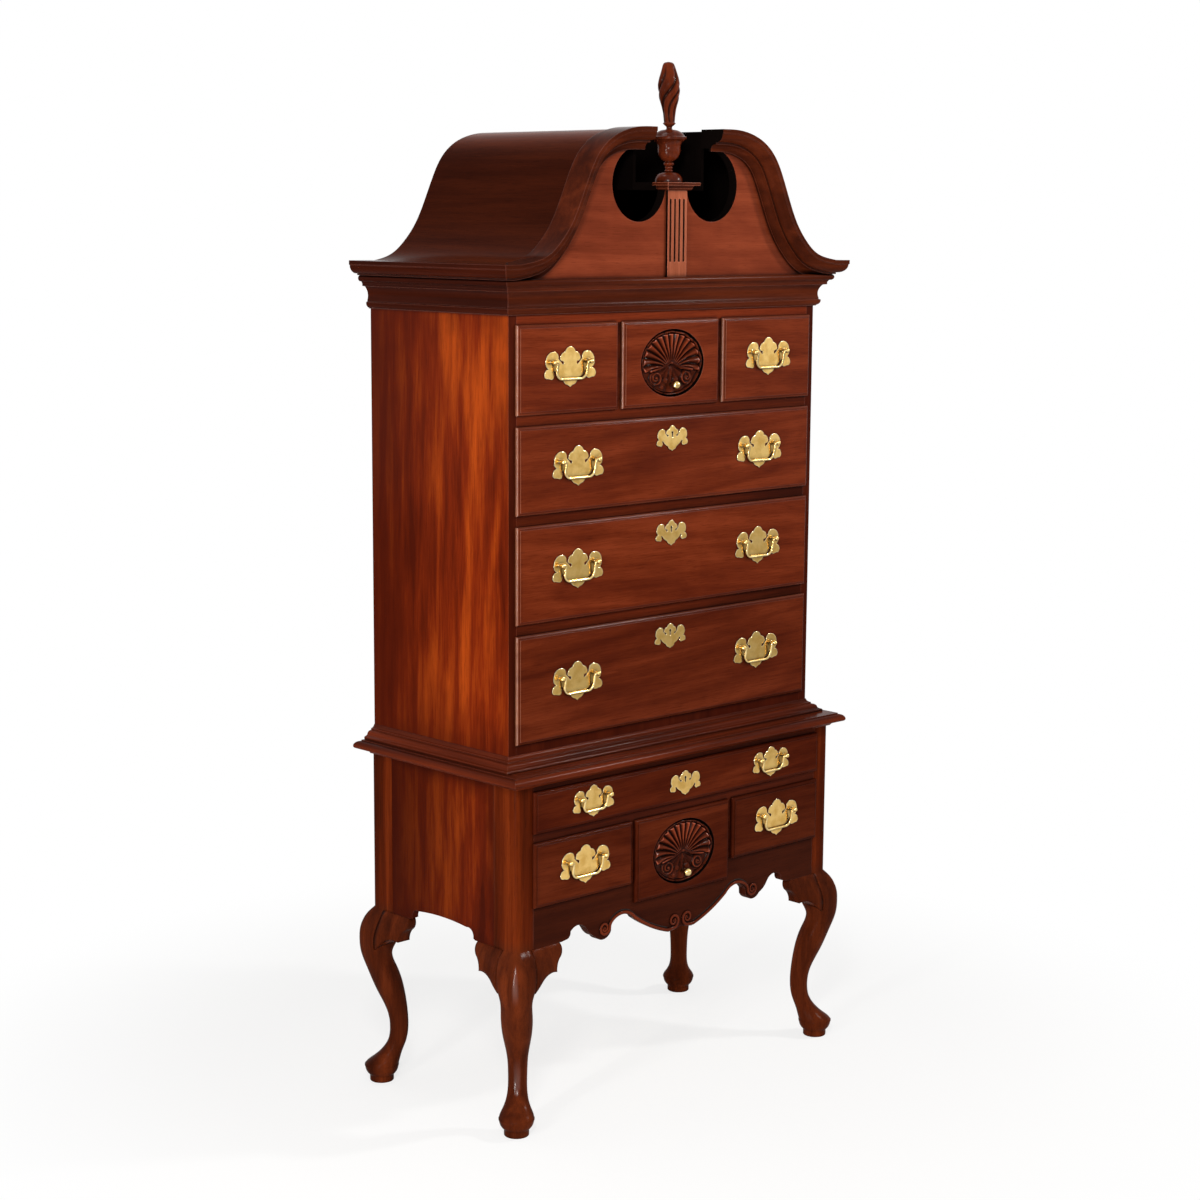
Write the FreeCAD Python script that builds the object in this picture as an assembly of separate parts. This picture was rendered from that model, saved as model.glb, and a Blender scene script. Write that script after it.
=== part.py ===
import FreeCAD, Part
import math
import os
from FreeCAD import Vector

# A bonnet-top highboy: an upper chest of drawers with a scrolled bonnet, standing on
# a lower case with cabriole legs.  All sizes are millimetres.
# Bench frame while modelling: x to the right, z up from the floor, y = 0 on the front
# of the upper case and growing towards the back.  save() moves every piece so that the
# origin lies under the middle of the whole highboy.

os.makedirs("parts", exist_ok=True)

# ---- upper case ----
upper_width = 914.0
upper_depth = 441.0
side_board = 22.0
case_board = 18.0
back_panel = 10.0
rail_depth = 60.0
bottom_reveal = 20.5
upper_rows = (228.0, 203.0, 181.5, 182.5)
upper_row_gap = 22.0
upper_shell_width = 289.0
upper_stile_gap = 13.0
frieze_reveal = 19.5
frieze_rail = 22.0

# ---- lower case ----
lower_width = 962.6
lower_depth = 474.5
lower_step = 51.5
knee_height = 398.0
lower_case_top = 754.0
post_width = 48.3
post_depth = 70.0
post_round = 12.0
panel_board = 17.5
panel_setback = 0.5
apron_board = 20.0
lower_back_rise = 27.0
lower_back_inset = 8.0
lower_top_reveal = 10.5
lower_long_height = 90.0
lower_row_gap = 18.5
lower_side_height = 139.0
lower_shell_height = 182.5
lower_shell_width = 289.0
lower_stile_gap = 11.5

# ---- drawers ----
lip_overlap = 4.5
lip_edge = 2.7
lip_round = 5.8
lip_seat = 0.3
field_raise = 2.0
field_inset = 6.8
front_board = 18.0
front_clearance = 1.2
box_side = 12.0
box_bottom = 6.0
bottom_rise = 8.0
box_clearance = 1.6
box_headroom = 7.0
box_back_gap = 8.0
slide_gap = 0.3
runner_width = 45.0
guide_height = 30.0
shell_half_width = 95.0
shell_half_height = 72.0
shell_depth = 12.0
shell_crown = 2.0
shell_rim = 5.0

# ---- brasses ----
pull_bore = 101.6
small_pull_scale = 0.82
escutcheon_scale = 0.655
escutcheon_drop = 41.5
plate_thickness = 1.6
pull_rise = 12.0
post_rise = 2.4
long_pull_x = 274.5
pivot_standoff = 9.5
ball_radius = 5.6
shank_radius = 2.4
collar_radius = 4.2
nut_radius = 6.0
nut_thickness = 3.0
hole_clearance = 0.2
pin_radius = 2.0
pin_clearance = 0.05
pin_entry = 3.6
bail_radius = 2.8
bail_drop = 36.0
bail_seat = 0.3
bail_gap = 0.5
bail_bend = 3.2
bail_corner = 16.0
keyhole_radius = 3.0
keyhole_slot = 3.0
keyhole_height = 12.7
keyhole_depth = 14.0
keyhole_rise = 3.0
knob_radius = 9.5
knob_reach = 19.5
knob_below = 46.0

# ---- mouldings ----
table_board = 19.0
table_reach = 28.0
table_thumbnail = 13.0
table_cove_height = 10.0
table_cove_reach = 20.0
base_height = 29.0
bed_height = 70.5
crown_height = 31.0
crown_reach = 56.7
neck_width = 46.0
cap_strip = 4.3

# ---- bonnet ----
scroll_rise = 277.0
gap_half = 97.5
tympanum_face = 14.4
tympanum_board = 22.0
roundel_radius = 77.3
roundel_x = 108.5
roundel_height = 191.8
roof_board = 6.0
rear_scroll_board = 12.0
well_board = 8.0
plinth_width = 57.0
plinth_proud = 5.0
plinth_height = 180.0
plinth_cap_height = 16.0
plinth_cap_reach = 19.7
flute_pitch = 13.2
flute_radius = 3.4
flute_depth = 2.4
flute_end_gap = 20.0
finial_setback = 7.5

# ---- cabriole legs ----
foot_inset = 12.0
foot_radius = 38.0
foot_height = 38.0
disc_radius = 26.5
disc_height = 14.5
knee_reach = 124.0
knee_drop = 57.0
knee_block_end = 0.35

# ---- levels and planes that follow from the sizes above ----
table_top = lower_case_top + table_board
first_row = table_top + base_height + bottom_reveal
row_bottoms = [first_row + sum(upper_rows[:i]) + i * upper_row_gap for i in range(len(upper_rows))]
row_tops = [z + h for z, h in zip(row_bottoms, upper_rows)]
bed_bottom = row_tops[-1] + frieze_reveal
bed_top = bed_bottom + bed_height
crown_top = bed_top + crown_height
scroll_top = crown_top + scroll_rise
cap_top = bed_top + plinth_height + plinth_cap_height
roundel_z = bed_top + roundel_height

upper_half = upper_width / 2
lower_half = lower_width / 2
lower_front = -lower_step
lower_rear = lower_front + lower_depth
opening_half = upper_half - side_board
lower_opening_half = lower_half - post_width
upper_lip_half = opening_half + lip_overlap
lower_lip_half = lower_opening_half + lip_overlap
lower_long_top = lower_case_top - table_cove_height - lower_top_reveal
lower_long_bottom = lower_long_top - lower_long_height
lower_side_top = lower_long_bottom - lower_row_gap
lower_side_bottom = lower_side_top - lower_side_height
lower_shell_bottom = lower_side_top - lower_shell_height
upper_back_face = upper_depth - back_panel
lower_back_face = lower_rear - lower_back_inset - back_panel
face_proud = lip_edge + lip_round + field_raise
front_extent = lower_front - face_proud - knob_reach
rear_extent = max(lower_rear + table_reach, upper_depth)
centre_shift = -(front_extent + rear_extent) / 2


def save(name, solids):
    """Write one node; several solids stay separate pieces of it."""
    shape = solids[0] if len(solids) == 1 else Part.makeCompound(solids)
    shape = shape.copy()
    shape.translate(Vector(0, centre_shift, 0))
    shape.exportStep("parts/" + name + ".step")


def board(x0, x1, y0, y1, z0, z1):
    """A rectangular board between two opposite corners."""
    corner = Vector(min(x0, x1), min(y0, y1), min(z0, z1))
    return Part.makeBox(abs(x1 - x0), abs(y1 - y0), abs(z1 - z0), corner)


def mirrored(shape, point=Vector(0, 0, 0), normal=Vector(1, 0, 0)):
    return shape.mirror(point, normal)


def both_sides(shape):
    """A piece and its mirror image across the middle of the highboy."""
    return [shape, mirrored(shape)]


def outline(place, start, steps):
    """A closed wire: each step is (a, b) for a line or (am, bm, a, b) for an arc."""
    here = start
    edges = []
    for step in steps + [start]:
        there = step[-2:]
        if math.dist(here, there) < 1e-6:
            continue
        if len(step) == 4:
            edges.append(Part.Arc(place(*here), place(*step[:2]), place(*there)).toShape())
        else:
            edges.append(Part.LineSegment(place(*here), place(*there)).toShape())
        here = there
    return Part.Wire(edges)


def mirrored_steps(start, steps):
    """The steps of a half outline followed by their mirror image across a = 0."""
    points = [start] + [step[-2:] for step in steps]
    back = []
    for i in range(len(steps) - 1, -1, -1):
        target = (-points[i][0], points[i][1])
        step = steps[i]
        back.append((-step[0], step[1]) + target if len(step) == 4 else target)
    return steps + back


def drilled(solid, x, y, z, radius, length, axis=Vector(0, 1, 0)):
    return solid.cut(Part.makeCylinder(radius, length, Vector(x, y, z), axis))


# ---------------------------------------------------------------- mouldings

def mitre_prisms(half, front, rear, reach, z0, z1):
    """Volumes that hold the front run and the left run of a moulding mitred at its corner."""
    front_plan = [(-half, front), (half, front), (half + reach, front - reach), (-half - reach, front - reach)]
    left_plan = [(-half, front), (-half - reach, front - reach), (-half - reach, rear), (-half, rear)]
    prisms = []
    for plan in (front_plan, left_plan):
        wire = Part.makePolygon([Vector(x, y, z0) for x, y in plan + plan[:1]])
        prisms.append(Part.Face(wire).extrude(Vector(0, 0, z1 - z0)))
    return prisms


def moulding_runs(start, steps, half, front, rear, z, reach):
    """A front run and two side runs of one profile (projection, height), mitred in front."""
    front_prism, left_prism = mitre_prisms(half, front, rear, reach + 10, z - 10, z + bed_height + 10)
    span = half + reach + 10
    front_wire = outline(lambda p, h: Vector(-span, front - p, z + h), start, steps)
    front_run = Part.Face(front_wire).extrude(Vector(2 * span, 0, 0)).common(front_prism)
    left_wire = outline(lambda p, h: Vector(-half - p, front - reach - 10, z + h), start, steps)
    left_run = Part.Face(left_wire).extrude(Vector(0, rear - front + reach + 10, 0)).common(left_prism)
    return [front_run.Solids[0], left_run.Solids[0], mirrored(left_run.Solids[0])]


def base_moulding():
    """Moulding that covers the foot of the upper case: foot fillet, ovolo, fillet and cove."""
    steps = [(29.0, 0.0), (29.0, 3.4), (27.8, 5.4), (24.2, 6.4, 21.2, 8.2), (20.4, 9.6),
             (17.6, 14.8, 11.6, 17.2), (9.8, 17.8), (9.8, 21.0), (4.4, 23.4, 1.4, base_height), (0.0, base_height)]
    return moulding_runs((0.0, 0.0), steps, upper_half, 0.0, upper_depth, table_top, crown_reach)


def bed_moulding():
    """Horizontal cornice moulding below the bonnet: ovolo, cove, fillet and a round bead."""
    steps = [(4.6, 0.0), (4.6, 1.5), (9.8, 5.0, 12.0, 11.0), (12.0, 13.5), (8.6, 15.2), (8.6, 18.0),
             (7.2, 31.0, 15.0, 46.6), (21.8, 47.6), (21.8, 52.6), (24.8, 57.4),
             (33.0, 64.4, 28.4, bed_height), (0.0, bed_height)]
    return moulding_runs((0.0, 0.0), steps, upper_half, 0.0, upper_depth, bed_bottom, crown_reach)


def table_cove():
    """Cove under the overhanging table board of the lower case."""
    reach = table_cove_reach
    height = table_cove_height
    steps = [(2.5, 0.0), (10.0, 7.2, reach, height), (0.0, height)]
    z = lower_case_top - height
    return moulding_runs((0.0, 0.0), steps, lower_half, lower_front, lower_rear, z, table_reach)


def table_top_board():
    """Top board of the lower case, with a thumbnail edge below a small step all round."""
    reach = table_reach
    shoulder = table_reach - table_thumbnail
    steps = [(reach - 5.5, 0.0), (reach - 1.4, 1.6, reach, 5.0), (reach, 6.5), (reach - 3.8, 13.2, shoulder, 16.2),
             (shoulder, table_board), (0.0, table_board)]
    profile = outline(lambda p, h: Vector(0, lower_front - p, lower_case_top + h), (0.0, 0.0), steps)
    corners = [(0, lower_front), (lower_half, lower_front), (lower_half, lower_rear), (-lower_half, lower_rear),
               (-lower_half, lower_front), (0, lower_front)]
    path = Part.makePolygon([Vector(x, y, lower_case_top) for x, y in corners])
    sweep = Part.BRepOffsetAPI.MakePipeShell(path)
    sweep.setBiNormalMode(Vector(0, 0, 1))
    sweep.setTransitionMode(1)
    sweep.add(profile)
    sweep.build()
    sweep.makeSolid()
    edge = Part.Solid(sweep.shape())
    if edge.Volume < 0:
        edge.reverse()
    core = board(-lower_half, lower_half, lower_front, lower_rear, lower_case_top, table_top)
    return core.fuse(edge).removeSplitter().Solids[0]


# ---------------------------------------------------------------- bonnet

def scroll_points():
    """Points of the swan-neck curve, from the cut end at the gap out to the crown's corner."""
    span = upper_half + crown_reach - gap_half
    shape = ((0.0, 1.0), (0.115, 0.997), (0.225, 0.965), (0.315, 0.905), (0.395, 0.80), (0.46, 0.635),
             (0.515, 0.455), (0.585, 0.265), (0.655, 0.145), (0.755, 0.045), (0.875, 0.006), (1.0, 0.0))
    return [(gap_half + s * span, crown_top + rise * scroll_rise) for s, rise in shape]


def scroll_curve(y, drop=0.0):
    """The swan-neck curve on the right half at depth y, moved square to itself by drop."""
    level = Vector(1, 0, 0)
    curve = Part.BSplineCurve()
    curve.interpolate(Points=[Vector(x, y, z) for x, z in scroll_points()],
                      InitialTangent=level * 400, FinalTangent=level * 400)
    if drop == 0.0:
        return curve
    points = []
    for x, z in scroll_points():
        tangent = curve.tangent(curve.parameter(Vector(x, y, z)))[0]
        normal = Vector(tangent.z, 0, -tangent.x)
        if normal.z > 0:
            normal = -normal
        points.append(Vector(x, y, z) + normal * drop)
    lower = Part.BSplineCurve()
    lower.interpolate(Points=points, InitialTangent=level * 400, FinalTangent=level * 400)
    return lower


def under_scroll(y, thickness, drop, bottom):
    """A right-hand board below the swan-neck curve, from the middle out to the case side."""
    curve = scroll_curve(y, drop)
    first = curve.StartPoint
    last = curve.EndPoint
    edges = [curve.toShape(), Part.makeLine(last, Vector(last.x, y, bottom)),
             Part.makeLine(Vector(last.x, y, bottom), Vector(0, y, bottom)),
             Part.makeLine(Vector(0, y, bottom), Vector(0, y, first.z)),
             Part.makeLine(Vector(0, y, first.z), first)]
    panel = Part.Face(Part.Wire(edges)).extrude(Vector(0, thickness, 0))
    inside = board(0, upper_half, y - 1, y + thickness + 1, bottom - 1, scroll_top + 10)
    return panel.common(inside)


def tympanum():
    """Scroll board with its two roundels and the open gap for the finial."""
    front = -tympanum_face
    half = under_scroll(front, tympanum_board, cap_strip, bed_top)
    whole = half.fuse(mirrored(half))
    gap = board(-gap_half, gap_half, front - 1, front + tympanum_board + 1, cap_top - plinth_cap_height,
                scroll_top + 10)
    whole = whole.cut(gap)
    for side in (-1, 1):
        whole = drilled(whole, side * roundel_x, front - 1, roundel_z, roundel_radius, tympanum_board + 2)
    return max(whole.removeSplitter().Solids, key=lambda s: s.Volume)


def neck_profile(x, top, back, strip):
    """Crown profile across the front: fillet, ovolo, fillet, cove and fillet."""
    reach = crown_reach
    face = tympanum_face
    steps = [(reach, 0.0), (reach, 8.5), (reach - 1.9, 10.0), (50.0, 22.0, 37.5, 27.5), (35.2, 27.5),
             (35.2, 31.5), (24.0, 34.8, 20.0, 42.5), (20.0, neck_width), (face, neck_width), (face, strip),
             (back, strip)]
    return outline(lambda p, d: Vector(x, -p, top - d), (back, 0.0), steps)


def swan_neck():
    """Right-hand gooseneck crown moulding, swept along the scroll and mitred at the corner."""
    path = Part.Wire(scroll_curve(-crown_reach).toShape())
    profile = neck_profile(gap_half, scroll_top, tympanum_face - tympanum_board, cap_strip)
    sweep = Part.BRepOffsetAPI.MakePipeShell(path)
    sweep.setBiNormalMode(Vector(0, 1, 0))
    sweep.add(profile)
    sweep.build()
    sweep.makeSolid()
    neck = Part.Solid(sweep.shape())
    if neck.Volume < 0:
        neck.reverse()
    reach = crown_reach + 10
    plan = [(0, 20), (upper_half, 20), (upper_half, 0), (upper_half + reach, -reach), (0, -reach)]
    wire = Part.makePolygon([Vector(x, y, bed_top) for x, y in plan + plan[:1]])
    keep = Part.Face(wire).extrude(Vector(0, 0, scroll_top - bed_top + 50))
    return neck.common(keep).Solids[0]


def crown_return():
    """Straight crown moulding along the right side of the case, mitred at the front corner."""
    reach = crown_reach
    z = crown_top
    steps = [(reach, 0.0), (reach, 8.5), (reach - 1.9, 10.0), (50.0, 22.0, 37.5, 27.5), (35.2, 27.5),
             (35.2, crown_height), (0.0, crown_height)]
    wire = outline(lambda p, d: Vector(upper_half + p, -reach - 10, z - d), (0.0, 0.0), steps)
    run = Part.Face(wire).extrude(Vector(0, upper_depth + reach + 10, 0))
    left_prism = mitre_prisms(upper_half, 0.0, upper_depth, reach + 10, bed_top - 1, crown_top + 1)[1]
    return run.common(mirrored(left_prism)).Solids[0]


def roof_sheet():
    """Right half of the bonnet roof, bent to the scroll and laid from front to back."""
    front = tympanum_board - tympanum_face
    upper = under_scroll(front, upper_depth - front, cap_strip, bed_top)
    lower = under_scroll(front - 1, upper_depth - front + 2, cap_strip + roof_board, bed_top - 5)
    sheet = upper.cut(lower)
    sheet = sheet.common(board(gap_half, upper_half, front, upper_depth, bed_top, scroll_top + 1))
    return max(sheet.Solids, key=lambda s: s.Volume)


def rear_scroll():
    """Right half of the scroll board that closes the back of the bonnet."""
    front = upper_depth - rear_scroll_board
    panel = under_scroll(front, rear_scroll_board, cap_strip + roof_board, bed_top)
    floor = cap_top - plinth_cap_height
    return panel.cut(board(-1, gap_half, front - 1, upper_depth + 1, floor, scroll_top)).Solids[0]


def well_cheek():
    """Upright board that closes the hood towards the finial gap, right-hand side."""
    front = tympanum_board - tympanum_face
    top = scroll_top - cap_strip - roof_board
    rear = upper_depth
    return board(gap_half, gap_half + well_board, front, rear - rear_scroll_board, cap_top - plinth_cap_height, top)


def well_floor():
    """Level board between the two hoods, at the height of the plinth cap."""
    front = tympanum_board - tympanum_face
    return board(-gap_half, gap_half, front, upper_depth, cap_top - plinth_cap_height, cap_top)


def plinth():
    """Fluted block in front of the tympanum with a stepped cap that carries the finial."""
    face = -tympanum_face - plinth_proud
    half = plinth_width / 2
    neck_z = cap_top - plinth_cap_height
    block = board(-half, half, face, -tympanum_face, bed_top, neck_z)
    for i in range(4):
        x = (i - 1.5) * flute_pitch
        low = bed_top + 1.7 * flute_end_gap
        high = neck_z - flute_end_gap
        y = face - flute_radius + flute_depth
        flute = Part.makeCylinder(flute_radius, high - low, Vector(x, y, low))
        for z in (low, high):
            flute = flute.fuse(Part.makeSphere(flute_radius, Vector(x, y, z)))
        block = block.cut(flute)
    back = tympanum_board - tympanum_face
    reach = plinth_cap_reach
    steps = [(2.0, 0.0), (5.6, 1.2, 8.4, 4.0), (8.4, 5.5), (9.8, 8.8, 14.5, 10.0), (reach, 10.0),
             (reach, plinth_cap_height), (0.0, plinth_cap_height)]
    runs = moulding_runs((0.0, 0.0), steps, half, face, back, neck_z, reach)
    cap = board(-half, half, face, back, neck_z, cap_top).fuse(runs).removeSplitter()
    return [block.Solids[0], cap.Solids[0]]


def finial():
    """Turned urn finial: bell base, three beads, urn with a domed lid and a flame."""
    axis = Vector(0, finial_setback, cap_top)
    base = [(29.0, 0.0), (29.0, 2.5), (25.0, 14.5, 13.0, 21.0), (7.2, 21.5)]
    beads = [(9.0, 24.3, 7.2, 27.0), (6.6, 28.0), (8.4, 31.0, 6.6, 34.0), (7.5, 35.0), (11.2, 38.7, 7.5, 42.5)]
    urn = [(9.0, 44.0), (12.0, 45.5), (20.5, 54.5, 24.2, 69.5), (27.0, 82.5, 35.0, 89.0), (36.7, 90.1), (36.7, 94.1)]
    lid = [(33.0, 95.7), (24.0, 105.0, 10.0, 109.3), (5.8, 112.5), (6.4, 115.5), (13.4, 121.5), (11.5, 123.5)]
    flame = [(17.4, 159.5, 23.2, 192.0), (18.6, 222.0, 9.0, 246.5), (7.0, 248.5), (0.0, 248.5)]
    steps = base + beads + urn + lid + flame
    wire = outline(lambda r, h: axis + Vector(r, 0, h), (0.0, 0.0), steps)
    return Part.Face(wire).revolve(axis, Vector(0, 0, 1), 360)


# ---------------------------------------------------------------- cabriole leg

def leg_section(z, outer, inner, power):
    """Rounded square at height z; outer and inner are its reaches past and inside the corner faces."""
    half = (outer + inner) / 2
    centre = (inner - outer) / 2
    points = []
    for i in range(16):
        angle = math.radians(22.5 * i)
        c = math.cos(angle)
        s = math.sin(angle)
        points.append(Vector(centre + half * math.copysign(abs(c) ** (2 / power), c),
                             centre + half * math.copysign(abs(s) ** (2 / power), s), z))
    curve = Part.BSplineCurve()
    curve.interpolate(Points=points, PeriodicFlag=True)
    return Part.Wire(curve.toShape())


def knee_rows():
    """Height, outer reach, inner reach and squareness of the leg from the knee line down."""
    inner = post_width - 2.0
    return ((knee_height, 0.8, inner, 7.0), (knee_height - 13, 11.0, inner, 6.5), (knee_height - 32, 20.4, inner, 5.5),
            (knee_height - 50, 25.6, inner, 4.4), (knee_height - 68, 27.4, inner, 3.8),
            (knee_height - 100, 25.6, inner - 9.7, 3.0))


def front_reach(a, outer, inner, power):
    """How far a leg section stands out past the corner's face at distance a from the corner."""
    half = (outer + inner) / 2
    centre = (inner - outer) / 2
    return half * (1 - abs((a - centre) / half) ** power) ** (1 / power) - centre


def cabriole_leg():
    """One leg with its corner post; the post's corner stands at x = 0, y = 0."""
    sections = [leg_section(knee_height + 12, -6.0, post_width - 2.0, 6.0)]
    sections += [leg_section(z, outer, inner, power) for z, outer, inner, power in knee_rows()]
    # below the knee: height, outer reach and inner reach from the corner, squareness
    curve = ((262, 17.4, 44.4, 2.6), (208, 1.8, 56.4, 2.25), (160, -15.0, 60.0, 2.0),
             (120, -19.3, 60.1, 2.0), (95, -16.4, 57.2, 2.0), (69, -3.1, 51.6, 2.0), (52, 13.0, 50.2, 2.0))
    sections += [leg_section(z, outer, inner, power) for z, outer, inner, power in curve]
    ankle = foot_radius - 0.8
    sections.append(leg_section(foot_height, ankle - foot_inset, ankle + foot_inset, 2.0))
    buried = foot_radius - 3.0
    sections.append(leg_section(foot_height - 8.0, buried - foot_inset, buried + foot_inset, 2.0))
    shank = Part.makeLoft(sections, True, False)
    # pad foot and disc, turned about the foot's own axis
    rim = foot_radius
    steps = [(disc_radius - 3, 0.0), (disc_radius - 0.9, 0.9, disc_radius, 3.0), (disc_radius, disc_height),
             (rim - 5.5, disc_height + 6, rim - 1.2, foot_height - 6.0), (rim, foot_height - 3.0),
             (rim, foot_height), (0.0, foot_height)]
    centre = Vector(foot_inset, foot_inset, 0)
    wire = outline(lambda r, h: centre + Vector(r, 0, h), (0.0, 0.0), steps)
    foot = Part.Face(wire).revolve(centre, Vector(0, 0, 1), 360)
    post = board(0, post_width, 0, post_depth, knee_height, lower_case_top)
    corner = [e for e in post.Edges if all(abs(v.X) < 1e-6 and abs(v.Y) < 1e-6 for v in e.Vertexes)]
    post = post.makeFillet(post_round, corner)
    return shank.fuse(foot).fuse(post)


def knee_blank():
    """Scroll-ended block beside the knee, running along +x from the corner (0, 0), not yet cut to the leg."""
    top = knee_height
    low = top - knee_drop
    end = knee_reach
    steps = [(end - 2, top), (end + 1.5, top - 12, end - 9, top - 30), (end - 18, top - 42, end - 21, low),
             (end - 45, low + 1.5, end - 68, low - 9), (post_width - 14, low - 30), (post_width - 30, low - 30)]
    wire = outline(lambda a, z: Vector(a, -60, z), (post_width - 30, top), steps)
    blank = Part.Face(wire).extrude(Vector(0, 60 + apron_board, 0))
    # the face starts just below the leg's own face, so that it runs on smoothly from the knee
    root = post_width - 17.0
    root_face = [(z, front_reach(root, outer, inner, power) - 0.15) for z, outer, inner, power in knee_rows()]
    end_face = [(z, outer * knee_block_end) for z, outer, inner, power in knee_rows()]
    wires = []
    for a, face in ((root, root_face), (end + 5, end_face)):
        front = [Vector(a, -reach, z) for z, reach in face]
        curve = Part.BSplineCurve()
        curve.interpolate(front)
        low_back = Vector(a, apron_board, front[-1].z)
        top_back = Vector(a, apron_board, front[0].z)
        wires.append(Part.Wire([curve.toShape(), Part.makeLine(front[-1], low_back),
                                Part.makeLine(low_back, top_back), Part.makeLine(top_back, front[0])]))
    return blank.common(Part.makeLoft(wires, True, True))


def at_corner(shape, side, rear):
    """Move a piece from the corner frame to one of the four lower-case corners."""
    piece = shape.copy()
    if rear:
        piece = mirrored(piece, Vector(0, 0, 0), Vector(0, 1, 0))
    if side > 0:
        piece = mirrored(piece)
    piece.translate(Vector(side * lower_half, lower_rear if rear else lower_front, 0))
    return piece


def make_legs():
    leg = cabriole_leg()
    save("front_legs", [at_corner(leg, side, False) for side in (-1, 1)])
    save("rear_legs", [at_corner(leg, side, True) for side in (-1, 1)])
    blank = knee_blank()
    side_blank = mirrored(blank, Vector(0, 0, 0), Vector(1, -1, 0))
    block, side_block = [max(piece.cut(leg).Solids, key=lambda s: s.Volume) for piece in (blank, side_blank)]
    blocks = [at_corner(block, side, False) for side in (-1, 1)]
    blocks += [at_corner(side_block, side, rear) for rear in (False, True) for side in (-1, 1)]
    save("knee_blocks", blocks)


# ---------------------------------------------------------------- lower case

def apron():
    """Scrolled front skirt; its upper edge steps down under the middle drawer."""
    side_top = lower_side_bottom + lip_overlap
    middle_top = lower_shell_bottom + lip_overlap
    stile = lower_shell_width / 2 - lip_overlap
    end = lower_opening_half
    low = knee_height
    steps = [(stile, middle_top), (stile, side_top), (end, side_top), (end, low), (end - 79, low),
             (end - 92, low + 2), (end - 103, low + 8, end - 105, low + 17), (end - 130, low + 27, end - 152, low + 13),
             (end - 164, low - 1, end - 178, low - 9), (end - 202, low - 19.5, end - 223, low - 5),
             (end - 224, low + 8), (end - 254, low + 26, end - 295, low + 8), (end - 345, low - 22, end - 397, low - 43),
             (0.0, low - 37)]
    face_y = lower_front
    wire = outline(lambda x, z: Vector(x, face_y, z), (0.0, middle_top), steps)
    half = Part.Face(wire).extrude(Vector(0, apron_board, 0))
    return half.fuse(mirrored(half)).removeSplitter().Solids[0]


def side_panel():
    """Right-hand side board with the flat arch of the side skirt."""
    outer = lower_half - panel_setback
    y0 = lower_front + post_depth
    y1 = lower_rear - post_depth
    low = knee_height
    arch = knee_reach + 12
    near = lower_front + arch
    far = lower_rear - arch
    middle = (y0 + y1) / 2
    steps = [(near - 6, low), (near, low + 3), (near + 4, low + 18, near + 22, low + 23),
             (middle, low + 28, far - 22, low + 23), (far - 4, low + 18, far, low + 3), (far + 6, low),
             (y1, low), (y1, lower_case_top), (y0, lower_case_top)]
    wire = outline(lambda y, z: Vector(outer, y, z), (y0, low), steps)
    return Part.Face(wire).extrude(Vector(-panel_board, 0, 0))


def make_lower_case():
    save("lower_case_apron", [apron()])
    save("lower_case_sides", both_sides(side_panel()))
    span = lower_opening_half
    back = board(-span, span, lower_back_face, lower_back_face + back_panel, knee_height + lower_back_rise,
                 lower_case_top)
    save_backs.append(back)
    deep = lower_front + rail_depth
    top_rail = board(-span, span, lower_front, deep, lower_long_top - lip_overlap, lower_case_top)
    middle_rail = board(-span, span, lower_front, deep, lower_side_top - lip_overlap,
                        lower_long_bottom + lip_overlap)
    stile_in = lower_shell_width / 2 - lip_overlap
    stile_out = lower_shell_width / 2 + lower_stile_gap + lip_overlap
    side_floor = lower_side_bottom + lip_overlap
    stile = board(stile_in, stile_out, lower_front, lower_back_face, side_floor, lower_side_top - lip_overlap)
    save("lower_drawer_rails", [top_rail, middle_rail] + both_sides(stile))
    save("table_moulding", [table_top_board()] + table_cove())


# ---------------------------------------------------------------- upper case

save_backs = []


def make_upper_case():
    side = board(opening_half, upper_half, 0, upper_depth, table_top, bed_top)
    floor_top = first_row + lip_overlap
    floor = board(-opening_half, opening_half, frieze_rail, upper_back_face, floor_top - case_board, floor_top)
    foot_rail = board(-opening_half, opening_half, 0, frieze_rail, table_top, floor_top)
    top = board(-opening_half, opening_half, frieze_rail, upper_back_face, bed_top - case_board, bed_top)
    save("upper_case_carcass", both_sides(side) + [floor, foot_rail, top])
    save_backs.append(board(-opening_half, opening_half, upper_back_face, upper_depth, table_top, bed_top))
    rails = [board(-opening_half, opening_half, 0, frieze_rail, row_tops[-1] - lip_overlap, bed_top)]
    for lower_row, upper_row in zip(row_tops[:-1], row_bottoms[1:]):
        rails.append(board(-opening_half, opening_half, 0, rail_depth, lower_row - lip_overlap,
                           upper_row + lip_overlap))
    stile_in = upper_shell_width / 2 - lip_overlap
    stile_out = upper_shell_width / 2 + upper_stile_gap + lip_overlap
    stile = board(stile_in, stile_out, 0, upper_back_face, row_bottoms[-1] + lip_overlap, row_tops[-1] - lip_overlap)
    save("upper_drawer_rails", rails + both_sides(stile))


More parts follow.
